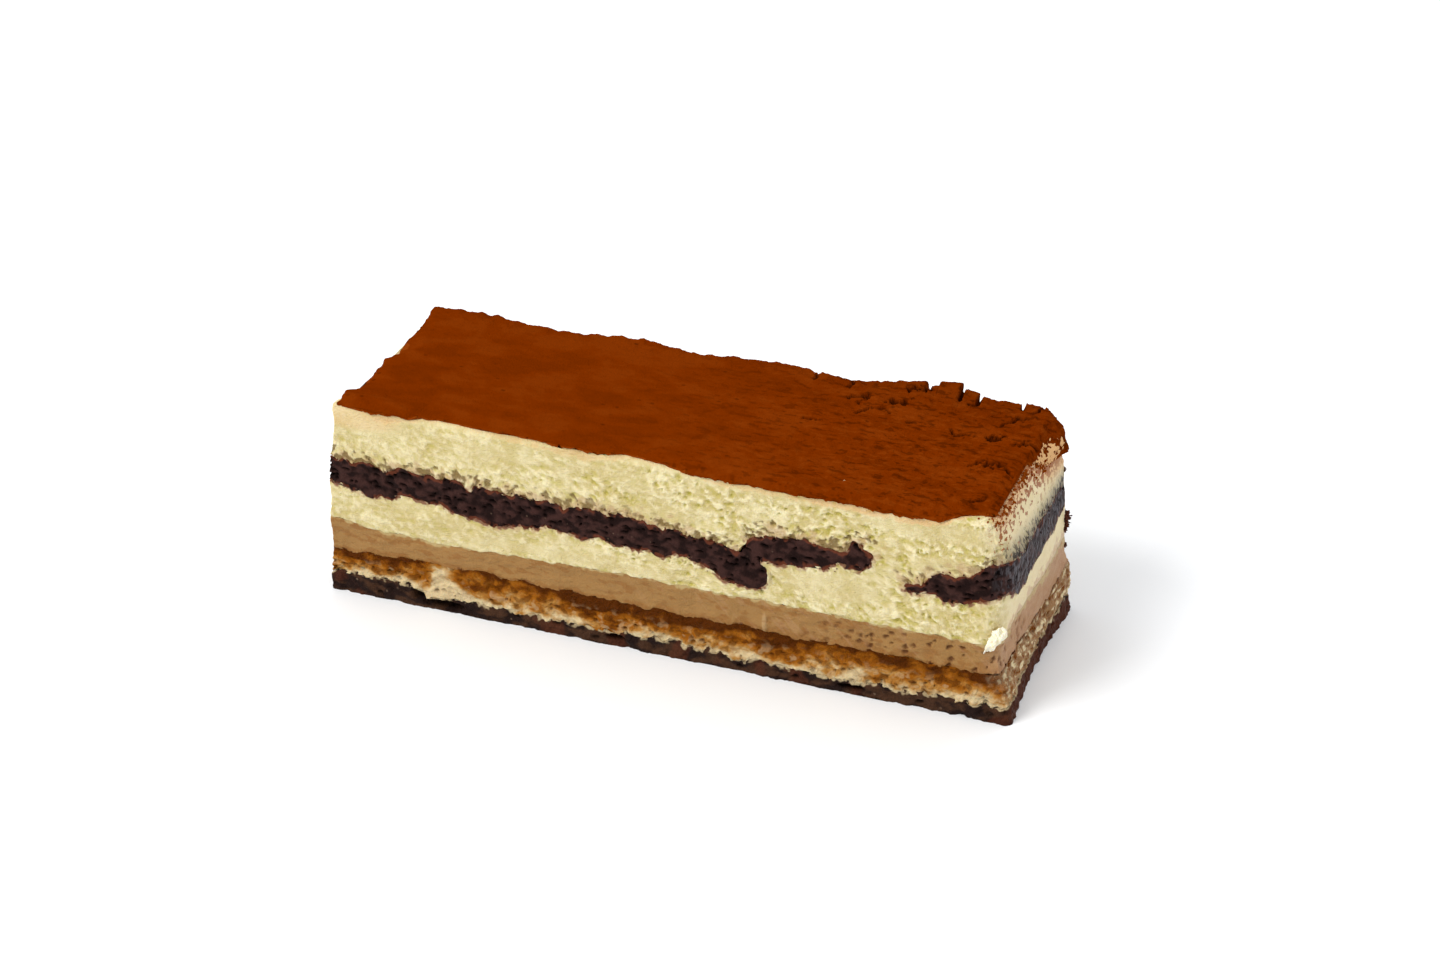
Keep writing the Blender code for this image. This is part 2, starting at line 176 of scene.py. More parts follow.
class TiramisuSizes(bpy.types.PropertyGroup):
    """Depths of the crumb, pores and ripples"""

    rag: length("Ragged boundaries", "How far the boundary between two layers wanders", 1)
    seam: length("Seam overlap", "How far each layer grows into the next to close the seam", 0.22)
    cream_flake: length("Cream flakes", "Height of the flakes on cut cream", 0.26)
    cream_pore: length("Cream pores", "Depth of the pores in cut cream", 0.32)
    tuck: length("Tuck", "How far the cream draws back under the cocoa's rim", 0.2)
    chocolate_crumb: length("Chocolate crumb", "Height of the crumb on cut chocolate sponge", 0.28)
    chocolate_pore: length("Chocolate pores", "Depth of the pores in chocolate sponge", 0.6)
    mousse_ripple: length("Mousse ripples", "Height of the ripples that the knife leaves in mousse", 0.16)
    mousse_bubble: length("Mousse bubbles", "Depth of the cut bubbles in mousse", 0.4)
    soaked_crumb: length("Soaked crumb", "Height of the open crumb of soaked sponge", 0.6)
    base_crumb: length("Base crumb", "Height of the crumb on the moist base", 0.6)
    powder: length("Powder grain", "Height of the grain on the cocoa", 0.07)
    wrinkle: length("Cocoa wrinkles", "Height of the fine wrinkles along the cocoa", 0.1)
    crack: length("Crack depth", "Depth of the cracks in the cocoa crust", 0.9)
    plate: length("Plate lift", "How far the broken plates of the crust stand up", 0.7)
    rim: length("Cocoa rim", "Thickness that the cocoa thins out to at its rim", 0.1)
    feather: length("Cocoa feather", "Width over which the cocoa thins out to its rim", 3)


class TiramisuColours(bpy.types.PropertyGroup):
    """Colours of the layers"""

    cocoa: colour("Cocoa", "Cocoa powder", 111, 40, 0)
    cocoa_light: colour("Light cocoa", "Thin cocoa on cream", 152, 74, 20)
    # Dark cocoa, also painted as shade in the cracks, gaps and pits of the crust
    cocoa_dark: colour("Dark cocoa", "Cocoa in pits and cracks", 46, 12, 0)
    cocoa_speck: colour("Cocoa specks", "Damp specks of cocoa on the shoulder", 150, 76, 20)
    cream: colour("Cream", "Cut cream", 199, 182, 129)
    # Bright cream, also used as painted highlight on the raised flakes
    cream_bright: colour("Bright cream", "Flakes of cream", 235, 224, 183)
    # Olive colour painted as shade in the pores and low parts of cut cream
    cream_hollow: colour("Cream in pores", "Cream deep in the pores", 180, 166, 68)
    cream_stain: colour("Stained cream", "Cream stained by chocolate", 170, 128, 98)
    end_stain: colour("Smeared stain", "Chocolate smeared into the cream of the end", 132, 122, 96)
    # Pits over the chocolate sponge: brown stain with painted shade in the dug pits
    cream_pit: colour("Pits in cream", "Pits over the chocolate sponge", 114, 90, 44)
    cream_dusted: colour("Dusted cream", "Cream under a breath of cocoa", 220, 174, 122)
    # Pale smeared cream, made brighter as painted light standing in for light from the right on the end
    cream_end: colour("Smeared cream", "Cream smeared over the end", 238, 220, 178)
    curl: colour("Curl", "The curl of cream at the front corner", 250, 246, 232)
    chocolate: colour("Chocolate sponge", "Cut chocolate sponge", 62, 39, 35)
    # Deep chocolate, also painted as shade in the low parts of the crumb
    chocolate_deep: colour("Deep chocolate", "Hollows of chocolate sponge", 32, 18, 16)
    # Near-black, also painted as shade in the pores of chocolate sponge
    chocolate_dark: colour("Dark chocolate", "Pores of chocolate sponge", 6, 2, 1)
    chocolate_rim: colour("Chocolate rim", "Chocolate sponge where it thins out", 112, 58, 38)
    # Bluish grey painted reflection of the sky on the chocolate of the end, over real smear streaks
    chocolate_end: colour("Smeared chocolate", "Chocolate smeared over the end", 98, 94, 98)
    mousse: colour("Mousse", "Coffee mousse", 152, 114, 66)
    mousse_low: colour("Soaked mousse", "Mousse that has drawn coffee", 136, 90, 42)
    mousse_end: colour("Smeared mousse", "Mousse smeared over the end", 196, 156, 126)
    # Coffee streaks, also painted as shade in the cut bubbles
    mousse_dark: colour("Mousse bubbles", "Bubbles and coffee streaks in mousse", 92, 48, 20)
    soaked: colour("Soaked sponge", "Sponge soaked with coffee", 118, 64, 6)
    # Dark coffee line, also painted as shade in the pores of the sponge
    soaked_dark: colour("Coffee line", "Coffee gathered on top of the sponge", 78, 36, 2)
    soaked_amber: colour("Amber sponge", "Sponge that shines amber", 146, 86, 18)
    soaked_gold: colour("Golden crumb", "Thinly soaked crumb", 170, 122, 60)
    soaked_pale: colour("Pale crumb", "Sponge that stayed dry", 206, 184, 142)
    soaked_end: colour("Sponge at the end", "Torn sponge of the end", 160, 124, 88)
    base: colour("Base", "Moist chocolate base", 72, 47, 32)
    base_deep: colour("Deep base", "Moist parts of the base", 36, 22, 18)
    # Near-black, also painted as shade in the pores and caves of the base
    base_dark: colour("Dark base", "Pores of the base", 14, 6, 3)
    # Pale specks, partly real crumb and partly painted wet glints, on chocolate sponge and base
    base_speck: colour("Base speck", "Pale specks in the base", 140, 116, 96)
    base_red: colour("Red brown", "Red-brown patches of the base", 88, 42, 24)
    floor: colour("Floor", "The studio floor", 247, 248, 250)


class TiramisuLight(bpy.types.PropertyGroup):
    """The studio"""

    lens: number("Lens", "Focal length of the camera", 70, min=1, unit="CAMERA")
    azimuth: number(
        "Azimuth", "Camera's turn round the slice", math.radians(20.09), subtype="ANGLE", unit="ROTATION"
    )
    elevation: number(
        "Elevation", "Camera's height as an angle", math.radians(29.92), subtype="ANGLE", unit="ROTATION"
    )
    distance: length("Distance", "Camera's distance from what it looks at", 464.9)
    target: bpy.props.FloatVectorProperty(
        name="Target", description="Point that the camera looks at", default=(0.0036, 0, 0.0241),
        size=3, precision=5, subtype="XYZ", unit="LENGTH",
    )
    key: number("Key light", "Power of the key light in watts", 23, min=0)
    room: number("Room light", "Strength of the light from all round", 0.78, min=0)


# ---------------------------------------------------------------- node graphs


def arithmetic(operation):
    """The methods of an operator that has a field on its left, and of one that has it only on its right."""
    return (
        lambda field, other: field.graph.math(operation, field, other),
        lambda field, other: field.graph.math(operation, other, field),
    )


class Field:
    """A number or vector that changes over a surface, with the arithmetic of the Math nodes."""

    __add__, __radd__ = arithmetic("ADD")
    __sub__, __rsub__ = arithmetic("SUBTRACT")
    __mul__, __rmul__ = arithmetic("MULTIPLY")

    def __init__(self, graph, socket):
        self.graph = graph
        self.socket = socket

    def parts(self):
        """X, Y and Z of a vector."""
        split = self.graph.add("ShaderNodeSeparateXYZ", {0: self})
        return [Field(self.graph, socket) for socket in split.outputs]


def is_vector(value):
    if isinstance(value, Field):
        return value.socket.type == "VECTOR"
    return isinstance(value, (tuple, Vector))


class Graph:
    """Adds nodes to a tree and joins them up as they are added."""

    def __init__(self, tree):
        self.tree = tree

    def give(self, socket, value):
        """Link a field to a socket, or set the socket's own value."""
        if isinstance(value, Field):
            self.tree.links.new(value.socket, socket)
        elif socket.type == "VECTOR" and not is_vector(value):
            socket.default_value = (value, value, value)
        elif socket.type == "RGBA" and len(value) == 3:
            socket.default_value = (*value, 1)
        else:
            socket.default_value = value

    def add(self, kind, values=None, **settings):
        made = self.tree.nodes.new(kind)
        for name, value in settings.items():
            setattr(made, name, value)
        for key, value in (values or {}).items():
            self.give(made.inputs[key], value)
        return made

    def out(self, node, key=0):
        return Field(self, node.outputs[key])

    def math(self, operation, *values):
        kind = "ShaderNodeVectorMath" if any(map(is_vector, values)) else "ShaderNodeMath"
        return self.out(self.add(kind, dict(enumerate(values)), operation=operation))

    def step(self, value, low, high):
        """Ease from 0 at low to 1 at high."""
        if low > high:
            return 1 - self.step(value, high, low)
        values = {"Value": value, "From Min": low, "From Max": high}
        return self.out(self.add("ShaderNodeMapRange", values, interpolation_type="SMOOTHSTEP"))

    def around(self, value, middle, far, close):
        """1 where a value is closer than that to a middle, easing to 0 where it is far."""
        return self.step(self.math("ABSOLUTE", value - middle), far, close)

    def zone(self, **limits):
        """1 where x, y and z are past the second of their limits, easing to 0 at the first."""
        return math.prod(self.step(getattr(self, axis), *ends) for axis, ends in limits.items())

    def limit(self, value):
        return self.out(self.add("ShaderNodeClamp", {"Value": value}))

    def curve(self, value, knots):
        """A profile of (position, value) knots, joined by straight lines."""
        made = self.add("ShaderNodeFloatCurve", {"Value": (value * (1 / knots[-1][0]))})
        line = made.mapping.curves[0]
        made.mapping.use_clip = False
        while len(line.points) < len(knots):
            line.points.new(0.5, 0.5)
        for point, (position, height) in zip(line.points, knots):
            point.location = (position / knots[-1][0], height)
            point.handle_type = "VECTOR"
        made.mapping.update()
        return self.out(made)

    def root(self, value):
        return self.math("POWER", self.most(value, 0), 0.5)

    def noise(self, at, size, shift=0, detail=2, roughness=0.5):
        """Cloudy noise round 0, with blotches of a size in millimetres."""
        values = {"Vector": at + shift if shift else at, "Scale": 1 / size}
        values.update(Detail=detail, Roughness=roughness)
        return self.out(self.add("ShaderNodeTexNoise", values, normalize=False))

    def combine(self, x=0, y=0, z=0):
        return self.out(self.add("ShaderNodeCombineXYZ", {0: x, 1: y, 2: z}))

    def cells(self, at, size, shift=0):
        """Distance from the middle of the nearest cell of a flat layout, and that cell's draw from 0 to 1."""
        values = {"Vector": at + shift if shift else at, "Scale": 1 / size}
        made = self.add("ShaderNodeTexVoronoi", values, voronoi_dimensions="2D")
        draw = self.add("ShaderNodeSeparateXYZ", {0: self.out(made, "Color")})
        return self.out(made, "Distance"), self.out(draw)

    def holes(self, at, size, share, radius=0.36, shift=0):
        """1 in round holes in that share of the cells, easing to 0 outside them."""
        distance, draw = self.cells(at, size, shift)
        return self.step(distance, radius, radius * 0.35) * self.step(draw, 1 - share, 1.08 - share)

    def patch(self, x, z, half_length, half_height):
        """1 inside an upright ellipse, easing to 0 round it."""
        place = (self.at - (x, 0, z)) * (1 / half_length, 0, 1 / half_height)
        made = self.add("ShaderNodeVectorMath", {0: place}, operation="LENGTH")
        return self.step(self.out(made, "Value"), 1.25, 0.7)

    def patches(self, places):
        """1 inside any of several such ellipses."""
        return self.most(*(self.patch(*place) for place in places))

    def most(self, first, *others):
        """The highest of several fields."""
        for field in others:
            first = self.math("MAXIMUM", first, field)
        return first


class Relief(Graph):
    """Geometry Nodes that shape a piece. Places and distances are in millimetres."""

    def __init__(self, piece):
        super().__init__(bpy.data.node_groups.new(piece.name + "_relief", "GeometryNodeTree"))
        self.piece = piece
        for way in ("INPUT", "OUTPUT"):
            self.tree.interface.new_socket("Geometry", in_out=way, socket_type="NodeSocketGeometry")
        self.geometry = self.out(self.add("NodeGroupInput"))
        self.at = self.out(self.add("GeometryNodeInputPosition")) * (1 / MM)
        self.x, self.y, self.z = self.at.parts()
        self.side = self.combine(self.x + self.y, self.z)
        self.normal = self.out(self.add("GeometryNodeInputNormal"))
        self.cut = self.attribute("cut")
        self.joined = self.attribute("joined")

    def attribute(self, name):
        return self.out(self.add("GeometryNodeInputNamedAttribute", {"Name": name}, data_type="FLOAT"))

    def surface(self, *objects):
        """The geometry of other objects, joined."""
        join = self.add("GeometryNodeJoinGeometry")
        for thing in objects:
            info = self.add("GeometryNodeObjectInfo", {"Object": thing}, transform_space="ORIGINAL")
            self.tree.links.new(info.outputs["Geometry"], join.inputs[0])
        return self.out(join)

    def nearest(self, *names):
        """Distance to CAD nodes, and the nearest place on them."""
        target = self.surface(*(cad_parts[name] for name in names))
        made = self.add("GeometryNodeProximity", {"Geometry": target}, target_element="FACES")
        return self.out(made, "Distance") * (1 / MM), self.out(made, "Position") * (1 / MM)

    def near(self, *names):
        return self.nearest(*names)[0]

    def end(self):
        """1 on the right end, easing to 0 round its front corner."""
        facing = self.step(self.normal.parts()[0], 0.5, 0.8)
        at_right = self.most(facing, self.step(self.y, CORNER_Y + 1.5, CORNER_Y + 0.8))
        turn = self.x - self.curve(self.z, FRONT_CORNER_X) + self.y - CORNER_Y
        return self.step(turn, -3.5, 4.5) * at_right

    def act(self, kind, values, **settings):
        """Send the geometry on through a node."""
        self.geometry = self.out(self.add(kind, {"Geometry": self.geometry, **values}, **settings))

    def keep(self, name, field):
        """Store a field on the points, for the material to read."""
        values = {"Name": name, "Value": field}
        self.act("GeometryNodeStoreNamedAttribute", values, data_type="FLOAT", domain="POINT")
        return self.attribute(name)

    def move(self, offset):
        self.act("GeometryNodeSetPosition", {"Offset": offset * MM})

    def place(self, position):
        self.act("GeometryNodeSetPosition", {"Position": position * MM})

    def press(self, height):
        """Move the cut faces out by a height, or in where it is negative."""
        self.move(self.outwards() * (self.cut * height))

    def outwards(self):
        """The level direction that a cut face looks along."""
        level = self.normal * (1, 1, 0)
        return self.out(self.add("ShaderNodeVectorMath", {0: level}, operation="NORMALIZE"))

    def apply(self):
        """Put the nodes on the piece as a modifier and apply it."""
        self.add("NodeGroupOutput", {0: self.geometry})
        modifier = self.piece.modifiers.new("Relief", "NODES")
        modifier.node_group = self.tree
        bpy.context.view_layer.objects.active = self.piece
        bpy.ops.object.modifier_apply(modifier=modifier.name)


def rag(relief, sizes, boundary):
    """How far a point near a boundary is pushed along the face, which is the same for both layers."""
    x, z, step, noise = relief.x, relief.z, relief.step, relief.noise
    reach = relief.curve(z, RAG_BY_HEIGHT) * (sizes.rag / MM) * step(boundary, 3, 0.4)
    inside = relief.around(x, 0, 55, 52)
    lobe, _ = relief.cells(relief.side * (1, 0.4, 0), 1.1, 17)
    lift = noise(relief.at * (1, 1, 0.4), 2.8, 0, 1) + (0.42 - lobe) * 0.55
    shift = noise(relief.at * (0.5, 0.5, 1), 1.9, 41, 1) * 0.6 * inside * reach
    for end_x, end_z, half_height, wear in SLAB_ENDS:
        off = relief.math("ABSOLUTE", z - end_z) * (1 / half_height)
        worn = relief.limit(off * off) * step(off, 1.9, 1.1)
        shift = shift + relief.around(x, end_x, 6, 0.5) * worn * wear
    return relief.combine(shift, 0, lift * reach)


def round_corner(relief, side, edge, rounding):
    """How far a point near an upright edge at the right moves in; side is 1 in front, -1 behind."""
    radius = relief.curve(relief.z, rounding)
    along = relief.limit(relief.math("DIVIDE", relief.x - relief.curve(relief.z, edge), radius) + 1)
    across = relief.limit(relief.math("DIVIDE", CORNER_Y - relief.y * side, radius) + 1)
    inwards = relief.combine(
        along * (relief.root(1 - across * across * 0.5) - 1),
        across * (1 - relief.root(1 - along * along * 0.5)) * side, 0,
    )
    return inwards * radius


def round_corners(relief):
    front = round_corner(relief, 1, FRONT_CORNER_X, FRONT_CORNER_RADIUS)
    return front + round_corner(relief, -1, BACK_CORNER_X, BACK_CORNER_RADIUS)


def heave(relief):
    """Where the layers bend: the cream's front left corner, the mousse at the left, the base at the back."""
    lift = relief.zone(x=(-38, -50), y=(-14, -18), z=(31, 35.5))
    lip = relief.zone(x=(56, 59), y=(4, 15), z=(1.5, 4)) * relief.step(relief.z, 11, 6.5)
    dip = relief.zone(x=(-15, -40), z=(8.5, 12.5)) * relief.step(relief.z, 19, 14)
    return relief.combine(0, 0, lift * 1.2 + lip * 1.6 - dip)


def drift(relief, sizes, boundary):
    """The move that every layer shares, so that they stay joined."""
    return rag(relief, sizes, boundary) + round_corners(relief) + seam(relief, sizes) + heave(relief)


def seam(relief, sizes):
    """Growth of the hidden faces into the neighbours, so that no gap shows between two layers."""
    along, _, up = (
        relief.step(part, 0.25, 0.6) - relief.step(part, -0.25, -0.6) for part in relief.normal.parts()
    )
    off_floor = relief.step(relief.z, 0.2, 0.9) * relief.step(relief.z, 34.5, 33.5)
    along = along * relief.around(relief.x, 0, 52, 50)
    return relief.combine(along, 0, up * off_floor) * (relief.joined * (sizes.seam / MM))


# ---------------------------------------------------------------- meshes


def mode(name):
    bpy.ops.object.mode_set(mode=name)


def deselect():
    if bpy.context.object and bpy.context.object.mode != "OBJECT":
        mode("OBJECT")
    bpy.ops.object.select_all(action="DESELECT")


def activate(piece):
    deselect()
    piece.select_set(True)
    bpy.context.view_layer.objects.active = piece


def layer_copy(node, name):
    """A copy of a CAD node to work on, with its loose triangles merged."""
    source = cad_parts[node]
    piece = source.copy()
    piece.data = source.data.copy()
    piece.name = piece.data.name = name
    piece.parent = None
    for key in list(piece.keys()):
        del piece[key]
    bpy.context.scene.collection.objects.link(piece)
    activate(piece)
    mode("EDIT")
    bpy.ops.mesh.select_mode(type="VERT")
    bpy.ops.mesh.select_all(action="SELECT")
    bpy.ops.mesh.remove_doubles(threshold=0.001 * MM)
    bpy.ops.mesh.select_mode(type="FACE")
    bpy.ops.mesh.select_all(action="DESELECT")
    mode("OBJECT")
    return piece


def name_selection(piece, name):
    """Put the selected points into a new vertex group."""
    bpy.ops.object.vertex_group_assign_new()
    piece.vertex_groups[-1].name = name


def on_cut_face(middle, normal):
    """Whether a face of a layer shows: on a long side, on an end or on the cream's rounded top edge."""
    if abs(normal.y) > 0.7 and abs(middle.y) > FACE_Y:
        return True
    if abs(normal.x) > 0.7 and abs(middle.x) > END_X:
        return True
    on_edge = abs(middle.y) > FACE_Y or abs(middle.x) > END_X + 1
    return middle.z > SHOULDER_Z and normal.z > 0.2 and on_edge


def refine_selection(piece, cuts):
    """Divide the selected faces, which show, and name their points and those of the hidden faces."""
    bpy.ops.mesh.subdivide(number_cuts=cuts)
    name_selection(piece, "cut")
    bpy.ops.mesh.select_all(action="INVERT")
    name_selection(piece, "joined")


def refined(node, name, cuts):
    """A copy of a layer with fine faces wherever it was cut, and coarse ones where it is hidden."""
    piece = layer_copy(node, name)
    for face in piece.data.polygons:
        face.select = on_cut_face(face.center / MM, face.normal)
    mode("EDIT")
    refine_selection(piece, cuts)
    bpy.ops.mesh.region_to_loop()
    bpy.ops.mesh.mark_sharp()
    mode("OBJECT")
    return piece


def finish_piece(piece, material, slot, *replaced):
    """Give a piece its material, smooth shading and body."""
    piece.data.materials.clear()
    piece.data.materials.append(material)
    activate(piece)
    bpy.ops.object.shade_smooth_by_angle(angle=SHARP_ANGLE, keep_sharp_edges=True)
    piece.vertex_groups.clear()
    piece.select_set(False)
    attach(piece, "root")
    if replaced:
        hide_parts(*replaced)


# ---------------------------------------------------------------- materials


class Finish(Graph):
    """A material for one kind of food, painted in coats over a ground colour. Places are in millimetres."""

    def __init__(self, colours, name, ground, roughness, specular, subsurface=0, radius=(1, 1, 1)):
        self.colours = colours
        self.body = getattr(colours, ground)
        self.material = bpy.data.materials.new(name)
        self.material.use_nodes = True
        super().__init__(self.material.node_tree)
        self.shader = self.tree.nodes["Principled BSDF"]
        self.give(self.shader.inputs["Roughness"], roughness)
        self.give(self.shader.inputs["Specular IOR Level"], specular)
        self.give(self.shader.inputs["Subsurface Weight"], subsurface)
        self.give(self.shader.inputs["Subsurface Scale"], MM)
        self.give(self.shader.inputs["Subsurface Radius"], tuple(radius))
        place = self.add("ShaderNodeTexCoord")
        mapping = self.add("ShaderNodeMapping", {"Vector": self.out(place, "Object"), "Scale": (1 / MM,) * 3})
        self.at = self.out(mapping)
        self.x, self.y, self.z = self.at.parts()
        self.side = self.combine(self.x + self.y, self.z)

    def attribute(self, name):
        return self.out(self.add("ShaderNodeAttribute", attribute_name=name), "Fac")

    def coat(self, colour_over, share=1):
        """Lay a colour, by name or as a field, over that share of what is painted so far."""
        if isinstance(colour_over, str):
            colour_over = getattr(self.colours, colour_over)
        values = {"Factor": share, 6: self.body, 7: colour_over}
        self.body = self.out(self.add("ShaderNodeMix", values, data_type="RGBA"), 2)

    def ramp(self, value, *stops):
        """Colours along a value, as (value, name of the colour) stops from 0 to 1."""
        made = self.add("ShaderNodeValToRGB", {0: value})
        points = made.color_ramp.elements
        while len(points) < len(stops):
            points.new(0.5)
        for point, (position, shade) in zip(points, stops):
            point.position = position
            point.color = (*getattr(self.colours, shade), 1)
        return self.out(made)

    def grain(self, size):
        group = effect_group("Grain", {"Size": 0.4}, "Height", grain_formula)
        return self.out(self.add("ShaderNodeGroup", {"Place": self.at, "Size": size}, node_tree=group))

    def stain(self, distance, reach, size):
        group = effect_group("Stain", {"Distance": 1, "Reach": 1, "Size": 0.8}, "Mask", stain_formula)
        values = {"Place": self.at, "Distance": distance, "Reach": reach, "Size": size}
        return self.out(self.add("ShaderNodeGroup", values, node_tree=group))

    def paint(self, height=None, reach=0.1):
        """Join the colour, and the height of the fine grain in millimetres, to the shader."""
        self.give(self.shader.inputs["Base Color"], self.body)
        if height is not None:
            bump = self.add("ShaderNodeBump", {"Strength": 1, "Distance": reach * MM, "Height": height})
            self.give(self.shader.inputs["Normal"], self.out(bump, "Normal"))
        return self.material


def effect_group(name, inputs, output, formula):
    """A shader group, made once, whose output follows from formula(graph, place, inputs by name)."""
    if name in bpy.data.node_groups:
        return bpy.data.node_groups[name]
    tree = bpy.data.node_groups.new(name, "ShaderNodeTree")
    tree.interface.new_socket("Place", in_out="INPUT", socket_type="NodeSocketVector")
    for label, default in inputs.items():
        socket = tree.interface.new_socket(label, in_out="INPUT", socket_type="NodeSocketFloat")
        socket.default_value = default
    tree.interface.new_socket(output, in_out="OUTPUT", socket_type="NodeSocketFloat")
    graph = Graph(tree)
    source = graph.add("NodeGroupInput")
    given = {socket.name: Field(graph, socket) for socket in source.outputs if socket.name}
    place = given["Place"] * graph.math("DIVIDE", 1, given["Size"])
    graph.add("NodeGroupOutput", {output: formula(graph, place, given)})
    return tree


def grain_formula(graph, place, given):
    """Fine grain of a cut or powdery surface, as a height."""
    return graph.noise(place, 1, 0, 2, 0.55) * 0.5 + 0.5


def stain_formula(graph, place, given):
    """A ragged stain that reaches so far from a boundary, given the distance to it."""
    wander = graph.noise(place, 1, 31, 1) * 1.4 + 1
    edge = graph.math("DIVIDE", given["Distance"], given["Reach"] * graph.most(wander, 0.05))
    return graph.step(edge, 1.15, 0.55)


# ---------------------------------------------------------------- the layers


def tool_of(context):
    scene = context.scene
    return scene.tiramisu_sizes, scene.tiramisu_colours


class LayerMaker:
    """What the layers share: a copy of the CAD node with fine cut faces is shaped and painted."""

    def make(self, context):
        sizes, colours = tool_of(context)
        piece = self.copy()
        relief = Relief(piece)
        self.shape(relief, sizes)
        relief.apply()
        finish_piece(piece, self.paint(Finish(colours, *self.finish)), self.node, self.node)
        return {"FINISHED"}

    def copy(self):
        return refined(self.node, self.piece, self.cuts)


class TIRAMISU_OT_base(LayerMaker, bpy.types.Operator):
    """Make the dark, moist chocolate base"""

    bl_idname = "tiramisu.base"
    bl_label = "Chocolate base"
    node, piece, cuts = "chocolate_base", "base_layer", 15
    finish = ("Moist base", "base_deep", 0.5, 0.05)

    def execute(self, context):
        return self.make(context)

    def shape(self, relief, sizes):
        over = relief.keep("pale", relief.near("soaked_sponge"))
        relief.keep("end", relief.end())
        relief.move(drift(relief, sizes, over))
        crumb = relief.noise(relief.at, 1.6) * 0.65
        pore = relief.holes(relief.side * (0.6, 1, 0), 1.4, 0.12, 0.4)
        cave = relief.patches(BASE_CAVES) * relief.step(relief.y, -16, -17)
        # Pores and caves are kept to be painted dark as shade
        relief.keep("pore", relief.limit(pore + cave))
        relief.press((crumb - pore * 0.9) * (sizes.base_crumb / MM) - cave * CAVE_DEPTH)

    def paint(self, skin):
        coat, grain = skin.coat, skin.grain(0.5)
        coat("base", skin.step(skin.noise(skin.at * (0.5, 0.5, 1), 1.8, 9), -0.3, 0.3))
        red = skin.step(skin.noise(skin.at, 7, 9, 1), 0.15, 0.4)
        coat("base_red", skin.most(red * 0.5, skin.attribute("end") * 0.75))
        coat("base_dark", grain * 0.3)
        # Pale specks: partly real, partly painted wet glints
        coat("base_speck", skin.holes(skin.side, 1.1, 0.05, 0.26, 6) * 0.8)
        # Painted shade: pores and caves, with the shadow slot under the base, are painted near-black
        coat("base_dark", skin.attribute("pore") * 0.85)
        coat("soaked_pale", skin.stain(skin.attribute("pale"), 0.45, 1.2) * 0.7)
        return skin.paint(grain, 0.25)


class TIRAMISU_OT_soaked(LayerMaker, bpy.types.Operator):
    """Make the sponge that is soaked with coffee"""

    bl_idname = "tiramisu.soaked"
    bl_label = "Soaked sponge"
    node, piece, cuts = "soaked_sponge", "soaked_layer", 13
    finish = ("Soaked sponge", "soaked", 0.35, 0.03, 0.15, (1.2, 0.6, 0.25))

    def execute(self, context):
        return self.make(context)

    def shape(self, relief, sizes):
        side, holes, keep = relief.side, relief.holes, relief.keep
        over, under = relief.near("coffee_mousse"), relief.near("chocolate_base")
        low = keep("low", relief.math("DIVIDE", over, over + under))
        end = keep("end", relief.end())
        relief.move(drift(relief, sizes, relief.math("MINIMUM", over, under)))
        crumb = relief.noise(relief.at * (0.7, 0.7, 1), 1.3, 5) * 0.8
        porous = relief.most(relief.step(low, 0.4, 0.7), end)
        small = holes(side, 0.8, 0.14, 0.36, 43)
        pore = relief.most(holes(side * (0.7, 1, 0), 1.2, 0.26, 0.36, 3), small) * (porous * 0.85 + 0.15)
        keep("pore", pore)
        relief.press((crumb - pore * 0.8) * (sizes.soaked_crumb / MM))

    def paint(self, skin):
        at, x, step, noise, coat = skin.at, skin.x, skin.step, skin.noise, skin.coat
        low, end = skin.attribute("low"), skin.attribute("end")
        broad = noise(at * (0.4, 0.4, 1), 2.6, 3, 1)
        blotch = noise(at * (0.6, 0.6, 1), 1.3, 21, 2, 0.4)
        dry = skin.around(x, -39.3, 3.4, 1) * 0.42
        wet = step(x, 27, 46) * 0.06 + step(x, -43, -48) * 0.12
        wet = wet + skin.around(x, 12, 20, 8) * 0.16 + skin.around(x, -12, 8, 4) * 0.26
        level = low * 1.02 + broad * 0.36 + blotch * 0.26 + dry - wet - 0.1
        white = step(level, 0.45, 0.75)
        coat(skin.ramp(
            level, (0, "soaked_dark"), (0.14, "soaked"), (0.34, "soaked_amber"), (0.56, "soaked_gold"),
            (0.78, "soaked_pale"),
        ))
        crumbs = noise(at * (0.7, 0.7, 1), 1.2, 33, 1)
        coat("soaked_dark", step(crumbs, 0.1, 0.4) * (1 - white * 0.7) * 0.6)
        coat("soaked_pale", step(crumbs, -0.15, -0.5) * step(low, 0.2, 0.7) * 0.3)
        # Torn sponge of the end, mottled up to the smeared cream that is brightened as painted light
        mottle = noise(at * (1, 0.6, 1), 1.1, 8) + 0.5
        coat(skin.ramp(
            mottle, (0, "soaked"), (0.4, "soaked_end"), (0.6, "soaked_end"), (1, "cream_end"),
        ), end * 0.85)
        # Painted shade: the pores are painted dark
        coat("soaked_dark", skin.attribute("pore") * (0.75 - white * 0.35))
        return skin.paint(skin.grain(0.5), 0.25)


